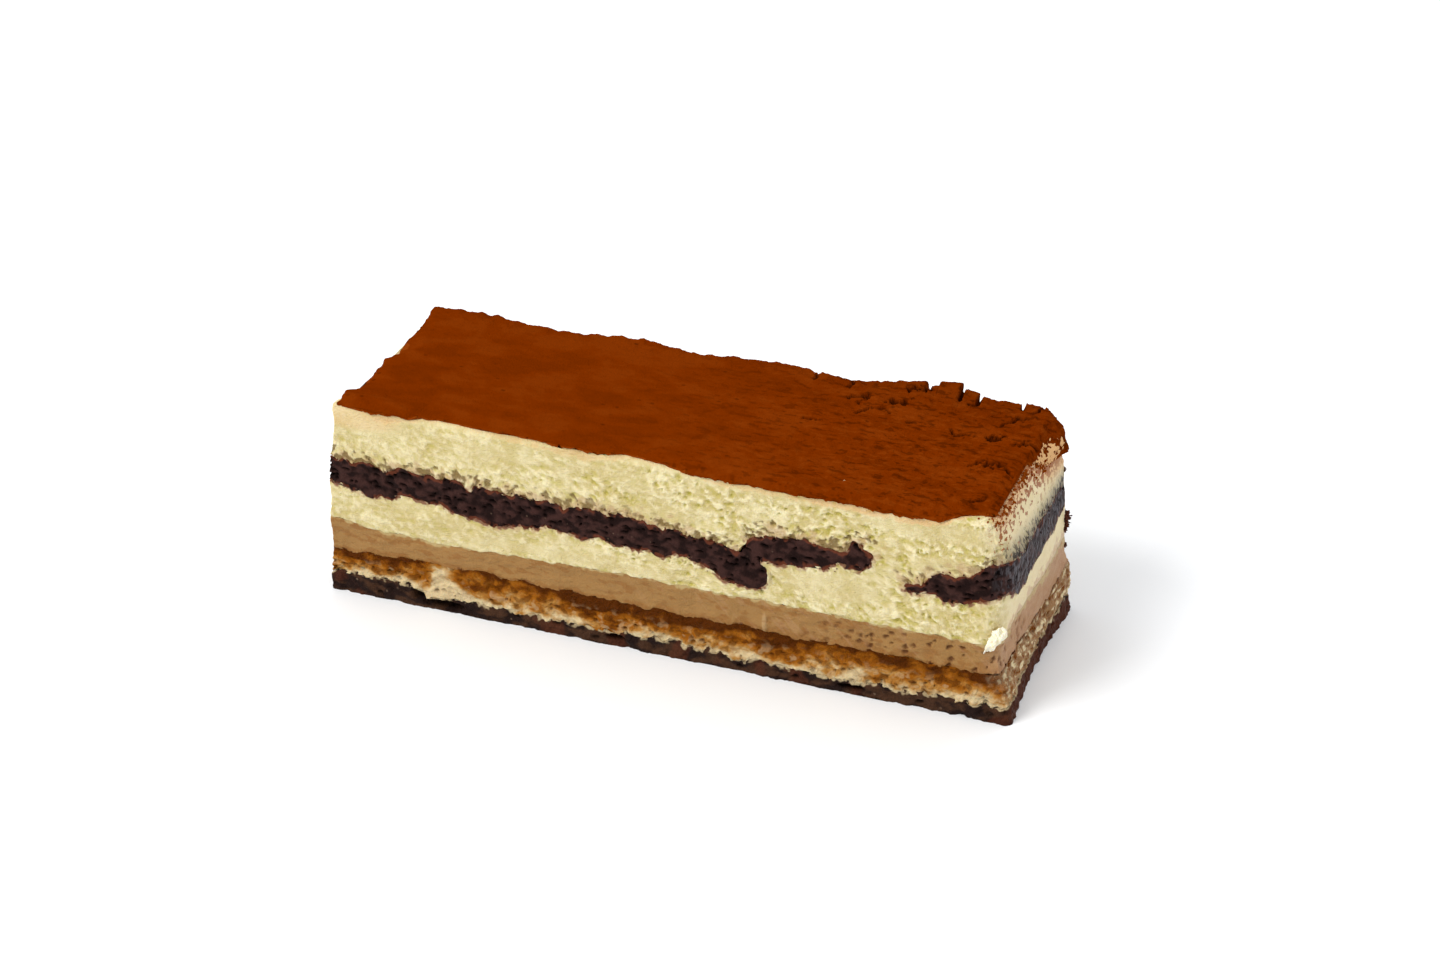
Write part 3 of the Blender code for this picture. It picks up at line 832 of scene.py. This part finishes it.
class TIRAMISU_OT_mousse(LayerMaker, bpy.types.Operator):
    """Make the coffee mousse"""

    bl_idname = "tiramisu.mousse"
    bl_label = "Coffee mousse"
    node, piece, cuts = "coffee_mousse", "mousse_layer", 12
    finish = ("Coffee mousse", "mousse", 0.5, 0.12, 0.2, (0.8, 0.5, 0.3))

    def execute(self, context):
        return self.make(context)

    def shape(self, relief, sizes):
        at, side, step, noise, keep = relief.at, relief.side, relief.step, relief.noise, relief.keep
        under = keep("under", relief.near("soaked_sponge"))
        over = keep("over", relief.near("mascarpone_cream"))
        keep("end", relief.end())
        relief.move(drift(relief, sizes, relief.math("MINIMUM", over, under)))
        ripple = noise(at * (0.4, 0.4, 1), 1.6, 2, 3, 0.55)
        fine = noise(at * (0.6, 0.6, 1), 0.8, 6, 3, 0.6)
        bubbly = relief.zone(x=(20, 38), z=(13.8, 12.6), y=(0, -9))
        swayed = side + noise(side, 0.9, 11, 1) * 0.4
        bubble = relief.most(
            relief.holes(swayed * (0.85, 1, 0), 1.6, 0.6, 0.36, 7) * bubbly,
            relief.holes(swayed, 1, 0.12, 0.34, 9) * (bubbly * 0.85 + 0.15),
        )
        keep("pore", bubble)
        ridge = relief.patch(*MOUSSE_RIDGE) * step(relief.y, 0, -9)
        keep("ridge", ridge)
        calm = step(over, 0, 0.9) * step(under, 0, 0.6)
        height = (ripple + fine * 0.5) * (sizes.mousse_ripple / MM) - bubble * (sizes.mousse_bubble / MM)
        relief.press((height + ridge * 0.2) * calm)

    def paint(self, skin):
        x, y, z, step, noise, coat = skin.x, skin.y, skin.z, skin.step, skin.noise, skin.coat
        under, over, end = skin.attribute("under"), skin.attribute("over"), skin.attribute("end")
        slanted = skin.combine(x * 0.5 + z * 0.45, y * 0.5, z - x * 0.12)
        coat("mousse_low", skin.stain(under, 1 + step(x, -10, 40), 2.6) * 0.55)
        coat("mousse_low", step(noise(slanted, 1.3, 14), 0.1, 0.5) * 0.6)
        scratch = noise(skin.combine(x + y * 0.3 + z * 0.9, z * 0.35), 1.2, 4)
        coat("mousse_end", step(scratch, 0.1, 0.5) * step(x, -20, 20) * 0.12)
        coat("mousse_end", end * 0.5)
        coat("mousse_dark", skin.stain(under, 0.3, 1.6) * 0.8)
        # Painted shade: the cut bubbles are painted dark
        coat("mousse_dark", skin.attribute("pore") * 0.75)
        # Painted highlight: the raised knife ridge is painted a little paler with the brightened end cream
        coat("cream_end", skin.attribute("ridge") * 0.12)
        coat("cream", skin.stain(over, 0.5 + end * 0.9, 1.6) * 0.5)
        return skin.paint(skin.grain(0.35), 0.1)


class TIRAMISU_OT_cream(LayerMaker, bpy.types.Operator):
    """Make the cream under, over and between the slabs of chocolate sponge"""

    bl_idname = "tiramisu.cream"
    bl_label = "Mascarpone cream"
    node, piece, cuts = "mascarpone_cream", "cream_layer", 11
    finish = ("Mascarpone cream", "cream", 0.55, 0.2, 0.25, (1.1, 0.8, 0.4))

    def execute(self, context):
        return self.make(context)

    def shape(self, relief, sizes):
        side, x, y, z = relief.side, relief.x, relief.y, relief.z
        step, noise, holes, keep = relief.step, relief.noise, relief.holes, relief.keep
        chocolate, on_slab = relief.nearest(*CHOCOLATE_NODES)
        over_slab = keep("over_slab", step(z - on_slab.parts()[2], 0, 0.4))
        chocolate = keep("chocolate", chocolate)
        cocoa = relief.near("cocoa_dusting")
        cocoa = keep("cocoa", relief.root(cocoa * cocoa - 0.2))
        mousse = keep("mousse", relief.near("coffee_mousse"))
        end = keep("end", relief.end())
        full = relief.combine(relief.zone(x=(-54.5, -57), y=(-13, -17), z=(32, 35)) * -0.8)
        relief.move(full + drift(relief, sizes, relief.math("MINIMUM", chocolate, mousse)))

        smeared = relief.patches(SMOOTH_CREAM) * step(y, -15, -17)
        lump = step(noise(side * (0.6, 1, 0), 3.2, 27, 1), 0.1, -0.2)
        even = relief.most(smeared, end * 0.7, step(cocoa, 1.8, 0.4), lump * 0.65)
        rough = keep("rough", 1 - even * 0.85)
        flake = keep("flake", noise(relief.combine(x * 0.7, y * 0.7, z + x * 0.2), 0.95, 0, 3, 0.6))
        airy = step(x, -48, 10) * 0.6 + 0.4
        open_part = step(noise(side * (0.7, 1, 0), 2.2, 51, 1), 0.02, 0.24)
        open_part = open_part * step(x, 12, 32) * (1 - smeared)
        pore = relief.most(
            holes(side * (0.85, 1, 0), 0.9, 0.85, 0.46, 61) * open_part,
            holes(side * (0.75, 1, 0), 1.35, 0.22, 0.38, 2),
            holes(side * (0.85, 1, 0), 0.85, 0.2, 0.4, 12),
        ) * airy
        keep("pore", pore * relief.most(rough, open_part))
        close = step(chocolate, 3.6, 1.1) * over_slab * (1 - end)
        spotted = noise(side * (0.8, 1, 0), 0.9, 5, 1) + close * 0.5 - 0.5
        dug = keep("dug", step(spotted, -0.02, 0.16) * step(close, 0.2, 0.5) * (1 - smeared * 0.5))
        calm = step(mousse, 0, 0.9) * (step(x, -50, 20) * 0.4 + 0.6)
        depth = sizes.cream_pore / MM
        height = (flake * (sizes.cream_flake / MM) - pore * depth) * rough * calm
        relief.press(height - dug * depth * 0.6 - step(cocoa, 0.4, 0) * (sizes.tuck / MM))

    def paint(self, skin):
        at, x, step, noise = skin.at, skin.x, skin.step, skin.noise
        read, coat, stain = skin.attribute, skin.coat, skin.stain
        chocolate, cocoa, mousse = read("chocolate"), read("cocoa"), read("mousse")
        over_slab, end, flake, rough = read("over_slab"), read("end"), read("flake"), read("rough")
        coat("cream_bright", step(noise(at, 6, 4), -0.4, 0.5) * 0.35)
        fluffy = step(x, -50, 30) * 0.4 + 0.6
        # Painted highlight: the raised tops of the flakes are painted brighter
        coat("cream_bright", step(flake, -0.1, 0.5) * (rough * 0.75 + 0.25) * fluffy * 0.8)
        # Painted shade: the low parts between the flakes and the pores are painted olive
        coat("cream_hollow", step(flake, 0, -0.5) * rough * fluffy * 0.6)
        coat("cream_hollow", read("pore") * 0.9)
        # The end is painted paler: real smeared cream, brightened as painted light from the right
        coat("cream_end", end * 0.8)
        coat("cream_dusted", skin.patch(-54, 34.5, 8, 2.2) * step(skin.y, -16, -17.5) * 0.3)
        coat("mousse", step(mousse, 0.5, 0) * 0.4)
        coat("mousse_end", stain(mousse, 1.8, 2) * end * 0.6)
        coat("cream_stain", stain(chocolate, over_slab + 0.6, 1.6) * 0.45)
        smear = step(chocolate, 4.4, 0.4) * over_slab * end
        coat("end_stain", smear * 0.9)
        fleck = step(noise(at * (1, 1, 0.6), 0.6, 3, 1) + smear * 0.6, 0.5, 0.62)
        coat("chocolate_deep", fleck * smear * 0.9)
        coat("chocolate_rim", stain(chocolate, 0.55 - over_slab * 0.2, 1.1) * 0.85)
        # Dug pits painted dark: brown stain and painted shade
        coat("cream_pit", read("dug") * 0.85)

        shoulder = step(x, 53.5, 55.5)
        wander = noise(at, 1.2, 6)
        dust = step(skin.math("DIVIDE", cocoa + wander * 0.5, shoulder * 3.2 + 0.8), 1, 0.3)
        lip = step(x, 10, 40) * 0.25 + 0.3
        coat("cream_dusted", dust * (shoulder * (0.8 - lip) + lip))
        coat("cocoa_light", step(cocoa + wander * 0.25, 0.35, 0) * (shoulder * 0.6 + 0.1))
        spread = noise(at * (1, 0.6, 1), 0.8, 15, 2, 0.55) - cocoa * 0.13
        spread = spread + skin.patch(57, 31.5, 1.5, 5) * 0.3 + step(cocoa, 1.5, 0.2) * 0.3
        coat("cocoa_speck", step(spread, -0.14, 0.06) * shoulder * step(skin.z, 26, 32) * 0.9)
        return skin.paint(skin.grain(0.35), 0.16)


class TIRAMISU_OT_chocolate(bpy.types.Operator):
    """Make the three broken slabs of chocolate sponge"""

    bl_idname = "tiramisu.chocolate"
    bl_label = "Chocolate sponge"

    def execute(self, context):
        sizes, colours = tool_of(context)
        material = self.paint(Finish(colours, "Chocolate sponge", "chocolate_deep", 0.5, 0.03))
        for which, cuts in (("left", 12), ("middle", 10), ("right", 12)):
            piece = refined(f"chocolate_sponge_{which}", f"chocolate_slab_{which}", cuts)
            relief = Relief(piece)
            self.shape(relief, sizes)
            relief.apply()
            finish_piece(piece, material, "chocolate_sponge", f"chocolate_sponge_{which}")
        return {"FINISHED"}

    def shape(self, relief, sizes):
        side, keep = relief.side, relief.keep
        edge = keep("edge", relief.near("mascarpone_cream"))
        end = keep("end", relief.end())
        relief.move(drift(relief, sizes, edge))
        crumb = keep("crumb", relief.noise(relief.at * (0.7, 0.7, 1), 1.5, 13))
        distance, _ = relief.cells(side * (0.8, 1, 0), 1.3, 7)
        slit = relief.combine((relief.x + relief.y) * 0.42, relief.z + relief.x * 0.1)
        pore = keep("pore", relief.most(
            relief.holes(slit, 1.1, 0.36, 0.34, 19), relief.holes(side, 0.9, 0.16, 0.4, 27),
        ))
        lump = crumb * 0.8 + (0.5 - distance) * 0.5
        height = lump * (sizes.chocolate_crumb / MM) - pore * (sizes.chocolate_pore / MM)
        relief.press(height * (1 - end * 0.45) + 0.05)

    def paint(self, skin):
        coat, grain = skin.coat, skin.grain(0.45)
        # Painted light and shade: the raised crumb is painted lighter, the low parts keep the deep ground
        coat("chocolate", skin.step(skin.attribute("crumb"), -0.35, 0.35))
        coat("chocolate_dark", grain * 0.25)
        coat("chocolate_rim", skin.stain(skin.attribute("edge"), 0.5, 1.3) * 0.6)
        # Painted highlight: pale specks stand in for wet glints
        coat("base_speck", skin.holes(skin.side, 0.8, 0.04, 0.26, 6) * 0.6)
        # Painted shade: the dug pores are painted near-black
        coat("chocolate_dark", skin.attribute("pore") * 0.9)
        # On the end: painted bluish reflection of the sky, in streaks that also stand for real smear
        streak = skin.step(skin.noise(skin.at * (1, 1, 0.28), 0.6, 3, 2, 0.6), -0.1, 0.5)
        coat("chocolate_end", skin.attribute("end") * (streak * 0.85 + 0.1))
        return skin.paint(grain, 0.15)


class TIRAMISU_OT_cocoa(LayerMaker, bpy.types.Operator):
    """Make the crust of cocoa powder on the top"""

    bl_idname = "tiramisu.cocoa"
    bl_label = "Cocoa"
    node, piece, cuts = "cocoa_dusting", "cocoa_crust", 11
    finish = ("Cocoa powder", "cocoa", 1, 0)

    def execute(self, context):
        return self.make(context)

    def copy(self):
        """A copy with fine faces all over its outer skin."""
        piece = layer_copy(self.node, self.piece)
        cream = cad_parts["mascarpone_cream"].data
        tree = BVHTree.FromPolygons(
            [point.co for point in cream.vertices], [tuple(face.vertices) for face in cream.polygons]
        )
        outer = [tree.find_nearest(point.co)[3] > OUTER_SKIN * MM for point in piece.data.vertices]
        for face in piece.data.polygons:
            face.select = all(outer[i] for i in face.vertices)
        mode("EDIT")
        refine_selection(piece, self.cuts)
        mode("OBJECT")
        return piece

    def lines(self, relief, ends, sway):
        """Distance from a point of the top to the nearest of several lines that sway, seen from above."""
        join = relief.add("GeometryNodeJoinGeometry")
        for x, y, to_x, to_y in ends:
            line = relief.add("GeometryNodeMeshLine", {"Count": 2}, mode="END_POINTS")
            line.inputs["Start Location"].default_value = (x, y, 0)
            line.inputs["Offset"].default_value = (to_x, to_y, 0)
            relief.tree.links.new(line.outputs[0], join.inputs[0])
        sway_x = relief.noise(relief.at, 1.6, 3, 2, 0.6) * sway
        sway_y = relief.noise(relief.at, 1.3, 8, 2, 0.6) * sway
        seen = relief.combine(relief.x + sway_x, relief.y + sway_y)
        values = {"Geometry": relief.out(join), "Sample Position": seen}
        return relief.out(relief.add("GeometryNodeProximity", values, target_element="EDGES"), "Distance")

    def shape(self, relief, sizes):
        at, x, y = relief.at, relief.x, relief.y
        step, noise, keep, lines = relief.step, relief.noise, relief.keep, self.lines
        notch = noise(relief.combine(0, y), 3.2, 6, 2, 0.6) * step(y, -17.5, -13) * 1.3
        slide = step(x, -50, -55.5) * (notch - step(y, -9, -17) * 2)
        raised = relief.curve(x + 60, RIM_RAISED) * step(y, -15, -17.5)
        drawn = relief.around(x, -18, 14, 4) * step(y, -15.5, -18) * SET_BACK
        relief.move(relief.combine(slide, drawn, raised * relief.most(COCOA_TOP - relief.z, 0)))

        thick, foot = relief.nearest("mascarpone_cream")
        away = relief.math("NORMALIZE", at - foot)
        chosen = {0: relief.geometry, "Selection": relief.joined * relief.cut}
        rim_points = relief.add("GeometryNodeSeparateGeometry", chosen)
        rim = relief.add("GeometryNodeProximity", {0: relief.out(rim_points)}, target_element="EDGES")
        from_rim = relief.out(rim, "Distance") * (1 / MM)

        crack = step(lines(relief, CRACKS, 0.35), 0.34, 0.14)
        pit = step(lines(relief, PITS, 1.3), 0.66, 0.3)
        gap = step(lines(relief, GAPS, 0.12), 0.4, 0.2)
        crack = relief.most(crack, gap)
        broken = relief.zone(x=(8, 24), y=(7, 13)) * step(y, 17, 14.5)
        tilted = relief.curve(x + 60, BACK_PLATES) * step(y, 13, 18.5)
        ajar = relief.zone(x=(29, 33), y=(14, 17))
        _, plate = relief.cells(relief.combine(x * 0.75, y), 4.2, 3)
        wrinkle = noise(at * (0.35, 1, 0), 1.1, 12, 2, 0.6)
        grain = noise(at, 0.55, 5, 2, 0.6)
        lump = noise(at, 2.2, 31, 2, 0.55)
        back = step(y, 13, 17.5) * (1 - ajar)
        # Cracks, gaps and pits, kept to be painted dark as shade
        keep("crack", relief.limit(crack * 0.9 + pit))
        keep("rim", from_rim)

        torn = step(x, -5, 40)
        rise = wrinkle * (torn * 1.4 + 0.35) * (sizes.wrinkle / MM) + grain * (sizes.powder / MM)
        rise = rise + lump * (torn * 0.25 + back * 0.35 + 0.08)
        rise = rise + broken * (plate - 0.4) * (sizes.plate / MM)
        rise = rise + tilted - (crack + pit * 0.8 + gap * 0.4) * (sizes.crack / MM)
        feather = step(relief.math("DIVIDE", from_rim, (sizes.feather / MM) * (1 - ajar * 0.85)), 0, 1)
        thinned = (sizes.rim / MM) + thick * feather
        lifted = step(relief.math("DIVIDE", from_rim, 1.6 - ajar * 1.2), 0.1, 1)
        settled = relief.most(thinned + rise * lifted, CRACK_FLOOR) * relief.cut - (1 - relief.cut) * 0.2
        ragged = noise(at, 1.1, 9, 3, 0.62) * step(from_rim, 1.4, 0)
        level = step(relief.normal.parts()[2], 0.7, 0.95)
        drop = relief.combine(0, 0, ragged * 0.5 * (1 - level))
        relief.place(foot + away * settled + drop + round_corners(relief) + heave(relief))

    def paint(self, skin):
        at, x, y, step, noise, coat = skin.at, skin.x, skin.y, skin.step, skin.noise, skin.coat
        torn = step(x, -25, 40)
        broad = noise(at * (0.6, 1, 1), 5, 4, 3, 0.6)
        streak = noise(at * (0.35, 1, 1), 0.9, 9, 2, 0.6)
        coat("cocoa_light", step(broad, 0, 0.5) * 0.1)
        coat("cocoa_dark", step(broad, 0, -0.5) * 0.14)
        # Painted shade and light of the small wrinkles: darker and lighter streaks, strongest at the torn
        # right
        coat("cocoa_dark", step(streak, 0.2, 0.5) * (torn * 0.42 + 0.06))
        coat("cocoa_light", step(streak, -0.25, -0.5) * torn * 0.15)
        # Small pits painted dark as shade, with no hollow in the shape; the cocoa is also darker towards the
        # back
        dot = skin.holes(skin.combine(x * 0.6, y), 1.5, 0.08, 0.22, 33)
        coat("cocoa_dark", dot * 0.5 + step(y, 6, 16) * torn * 0.14)
        # Painted shade in the cracks, gaps and pits
        coat("cocoa_dark", skin.attribute("crack") * 0.9)
        coat("cocoa_light", step(skin.attribute("rim"), 0.35, 0) * 0.4)
        shoulder = skin.zone(x=(54.2, 55.8), z=(36.4, 34.6), y=(16, 13.6))
        speckle = noise(at, 0.7, 15, 1)
        coat("cream_dusted", step(shoulder * 1.2 - 1 - speckle, 0, 0.15) * step(shoulder, 0.1, 0.3))
        return skin.paint(skin.grain(0.35), 0.12)


# ---------------------------------------------------------------- crumbs and specks


def two_tone(colours, name, dark, light, size, *finish):
    """A finish that goes from one colour to another by its grain."""
    skin = Finish(colours, name, dark, *finish)
    grain = skin.grain(size)
    skin.coat(light, grain)
    return skin, grain


def rough_ball(name, subdivisions):
    """A small rough lump one millimetre in radius at the origin, to be copied as crumbs."""
    deselect()
    bpy.ops.mesh.primitive_ico_sphere_add(subdivisions=subdivisions, radius=1)
    ball = bpy.context.object
    ball.name = ball.data.name = name
    mode("EDIT")
    bpy.ops.mesh.select_all(action="SELECT")
    bpy.ops.transform.vertex_random(offset=0.3, uniform=0.7, normal=0.6, seed=4)
    mode("OBJECT")
    return ball


def strew(name, per_square_mm, where, smallest, largest, seed):
    """Rough lumps strewn over the cream, where(relief) being the share of them that a place gets."""
    piece = rough_ball(name, 1)
    relief = Relief(piece)
    lump = relief.geometry
    ground = relief.surface(bpy.data.objects["cream_layer"])
    spread = relief.add("GeometryNodeDistributePointsOnFaces", {"Mesh": ground, "Seed": seed})
    relief.give(spread.inputs["Density"], where(relief) * (per_square_mm / MM ** 2))
    drawn = []
    for low, high in ((smallest * MM, largest * MM), (0, math.tau)):
        draw = relief.add("FunctionNodeRandomValue", data_type="FLOAT_VECTOR")
        relief.give(draw.inputs["Min"], (low,) * 3)
        relief.give(draw.inputs["Max"], (high,) * 3)
        draw.inputs["Seed"].default_value = seed + len(drawn)
        drawn.append(relief.out(draw))
    placed = relief.add("GeometryNodeInstanceOnPoints", {
        "Points": relief.out(spread, "Points"), "Instance": lump, "Rotation": drawn[1], "Scale": drawn[0],
    })
    relief.geometry = relief.out(relief.add("GeometryNodeRealizeInstances", {0: relief.out(placed)}))
    relief.apply()
    return piece


def lay_crumbs(name, lumps):
    """Single crumbs joined into one piece, each given as its place and radius in millimetres."""
    balls = []
    for i, (x, y, z, radius) in enumerate(lumps):
        ball = rough_ball(f"{name}_{i}", 4)
        relief = Relief(ball)
        bumpy = relief.noise(relief.at * MM, 0.7, float(i), 3, 0.6) * 0.5 + 1
        relief.place(relief.at * MM * (bumpy * radius) + (x, y, z))
        relief.apply()
        balls.append(ball)
    deselect()
    for ball in balls:
        ball.select_set(True)
    bpy.context.view_layer.objects.active = balls[0]
    bpy.ops.object.join()
    balls[0].name = balls[0].data.name = name
    return balls[0]


def on_shoulder(relief):
    near = relief.step(relief.attribute("cocoa"), 3.2, 0.6)
    clump = relief.step(relief.noise(relief.at, 1.4, 2, 1), -0.3, 0.3)
    return near * clump * relief.step(relief.x, 53.6, 55.2) * relief.step(relief.z, 30, 33)


def by_chocolate(relief):
    near = relief.step(relief.attribute("chocolate"), 1.6, 0.2) * (relief.attribute("over_slab") * 0.8 + 0.2)
    return near * relief.step(relief.noise(relief.at, 2.2, 7, 1), 0, 0.3)


class TIRAMISU_OT_crumbs(bpy.types.Operator):
    """Strew cocoa specks over the shoulder and crumbs along the chocolate sponge"""

    bl_idname = "tiramisu.crumbs"
    bl_label = "Crumbs and specks"

    def execute(self, context):
        _, colours = tool_of(context)
        powder, _ = two_tone(colours, "Cocoa specks", "cocoa", "cocoa_speck", 0.6, 1, 0)
        finish_piece(strew("cocoa_specks", 7, on_shoulder, 0.12, 0.36, 3), powder.paint(), "cocoa_dusting")
        dark, _ = two_tone(colours, "Chocolate crumbs", "chocolate_deep", "chocolate_rim", 0.5, 0.6, 0.1)
        dark = dark.paint()
        finish_piece(strew("chocolate_crumbs", 1, by_chocolate, 0.1, 0.24, 5), dark, "chocolate_sponge")
        pale, _ = two_tone(colours, "Pale crumbs", "cream_dusted", "cream_bright", 0.5, 0.6, 0.2)
        finish_piece(lay_crumbs("edge_crumbs", EDGE_CRUMBS), dark, "chocolate_sponge")
        finish_piece(lay_crumbs("pale_crumbs", PALE_CRUMBS), pale.paint(), "mascarpone_cream")
        return {"FINISHED"}


class TIRAMISU_OT_curl(bpy.types.Operator):
    """Make the curl of cream that the knife pulled over the front corner"""

    bl_idname = "tiramisu.curl"
    bl_label = "Cream curl"

    def execute(self, context):
        _, colours = tool_of(context)
        deselect()
        bpy.ops.mesh.primitive_ico_sphere_add(subdivisions=6, radius=1)
        piece = context.object
        piece.name = piece.data.name = "cream_curl"
        relief = Relief(piece)
        x, y, z = (field * MM for field in relief.at.parts())
        lumpy = relief.noise(relief.at * MM, 0.7, 3, 3, 0.45) * 0.6 + 1
        girth = (1 + z * 0.3) * lumpy
        along = x * girth * 1.15 + 56.3 + z * 0.9 - z * z * 0.7
        relief.place(relief.combine(along, y * girth - 18.5, z * lumpy * 2.1 + 14.9 + x * 0.4))
        relief.apply()
        skin, grain = two_tone(
            colours, "Cream curl", "cream_bright", "curl", 0.4, 0.5, 0.3, 0.3, (1.1, 0.8, 0.4),
        )
        finish_piece(piece, skin.paint(grain, 0.15), "mascarpone_cream")
        return {"FINISHED"}


# ---------------------------------------------------------------- the stage


class TIRAMISU_OT_stage(bpy.types.Operator):
    """Set up the floor, the lights and the camera"""

    bl_idname = "tiramisu.stage"
    bl_label = "Stage"

    def execute(self, context):
        light = context.scene.tiramisu_light
        colours = context.scene.tiramisu_colours
        deselect()
        bpy.ops.mesh.primitive_plane_add(size=FLOOR_SIZE)
        floor = context.object
        floor.name = floor.data.name = "studio_floor"
        mode("EDIT")
        bpy.ops.mesh.subdivide(number_cuts=FLOOR_CUTS)
        mode("OBJECT")
        surface = bpy.data.materials.new("Floor")
        surface.use_nodes = True
        shader = surface.node_tree.nodes["Principled BSDF"]
        shader.inputs["Base Color"].default_value = (*colours.floor, 1)
        shader.inputs["Roughness"].default_value = 0.6
        shader.inputs["Specular IOR Level"].default_value = 0.2
        floor.data.materials.append(surface)

        target = Vector(light.target)
        back = Vector((
            math.sin(light.azimuth) * math.cos(light.elevation),
            -math.cos(light.azimuth) * math.cos(light.elevation),
            math.sin(light.elevation),
        ))
        bpy.ops.object.camera_add(location=target + back * light.distance)
        camera = context.object
        camera.name = "camera"
        camera.rotation_euler = (-back).to_track_quat("-Z", "Y").to_euler()
        camera.data.lens = light.lens
        camera.data.sensor_width = SENSOR_WIDTH
        camera.data.clip_start = 0.01
        context.scene.camera = camera

        for name, place, size, share, warmth in LIGHTS:
            bpy.ops.object.light_add(type="AREA", location=place)
            lamp = context.object
            lamp.name = name
            lamp.rotation_euler = (Vector(place) - Vector(LIT_POINT)).to_track_quat("Z", "Y").to_euler()
            lamp.data.size = size
            lamp.data.energy = light.key * share
            lamp.data.color = warmth
        world = bpy.data.worlds.new("Studio")
        world.use_nodes = True
        background = world.node_tree.nodes["Background"]
        background.inputs["Color"].default_value = ROOM_TINT
        background.inputs["Strength"].default_value = light.room
        context.scene.world = world
        context.scene.view_settings.view_transform = "Standard"
        context.scene.view_settings.look = "None"
        return {"FINISHED"}


class TIRAMISU_PT_pieces(bpy.types.Panel):
    """Lists the pieces of the slice"""

    bl_label = "Tiramisu slice"
    bl_space_type = "VIEW_3D"
    bl_region_type = "UI"
    bl_category = "Tiramisu"

    def draw(self, context):
        for operator in OPERATORS:
            self.layout.operator(operator.bl_idname)
        for group in ("tiramisu_sizes", "tiramisu_colours", "tiramisu_light"):
            values = getattr(context.scene, group)
            for name in values.bl_rna.properties.keys():
                if name not in ("rna_type", "name"):
                    self.layout.prop(values, name)


OPERATORS = (
    TIRAMISU_OT_base, TIRAMISU_OT_soaked, TIRAMISU_OT_mousse, TIRAMISU_OT_cream, TIRAMISU_OT_chocolate,
    TIRAMISU_OT_cocoa, TIRAMISU_OT_crumbs, TIRAMISU_OT_curl, TIRAMISU_OT_stage,
)
GROUPS = {
    "tiramisu_sizes": TiramisuSizes, "tiramisu_colours": TiramisuColours, "tiramisu_light": TiramisuLight,
}


def register():
    for cls in (*GROUPS.values(), *OPERATORS, TIRAMISU_PT_pieces):
        bpy.utils.register_class(cls)
    for name, group in GROUPS.items():
        setattr(bpy.types.Scene, name, bpy.props.PointerProperty(type=group))


def unregister():
    for name in GROUPS:
        delattr(bpy.types.Scene, name)
    for cls in (TIRAMISU_PT_pieces, *reversed(OPERATORS), *GROUPS.values()):
        bpy.utils.unregister_class(cls)


def main():
    register()
    bpy.ops.tiramisu.base()
    bpy.ops.tiramisu.soaked()
    bpy.ops.tiramisu.mousse()
    bpy.ops.tiramisu.cream()
    bpy.ops.tiramisu.chocolate()
    bpy.ops.tiramisu.cocoa()
    bpy.ops.tiramisu.crumbs()
    bpy.ops.tiramisu.curl()
    bpy.ops.tiramisu.stage()


if __name__ == "__main__":
    main()
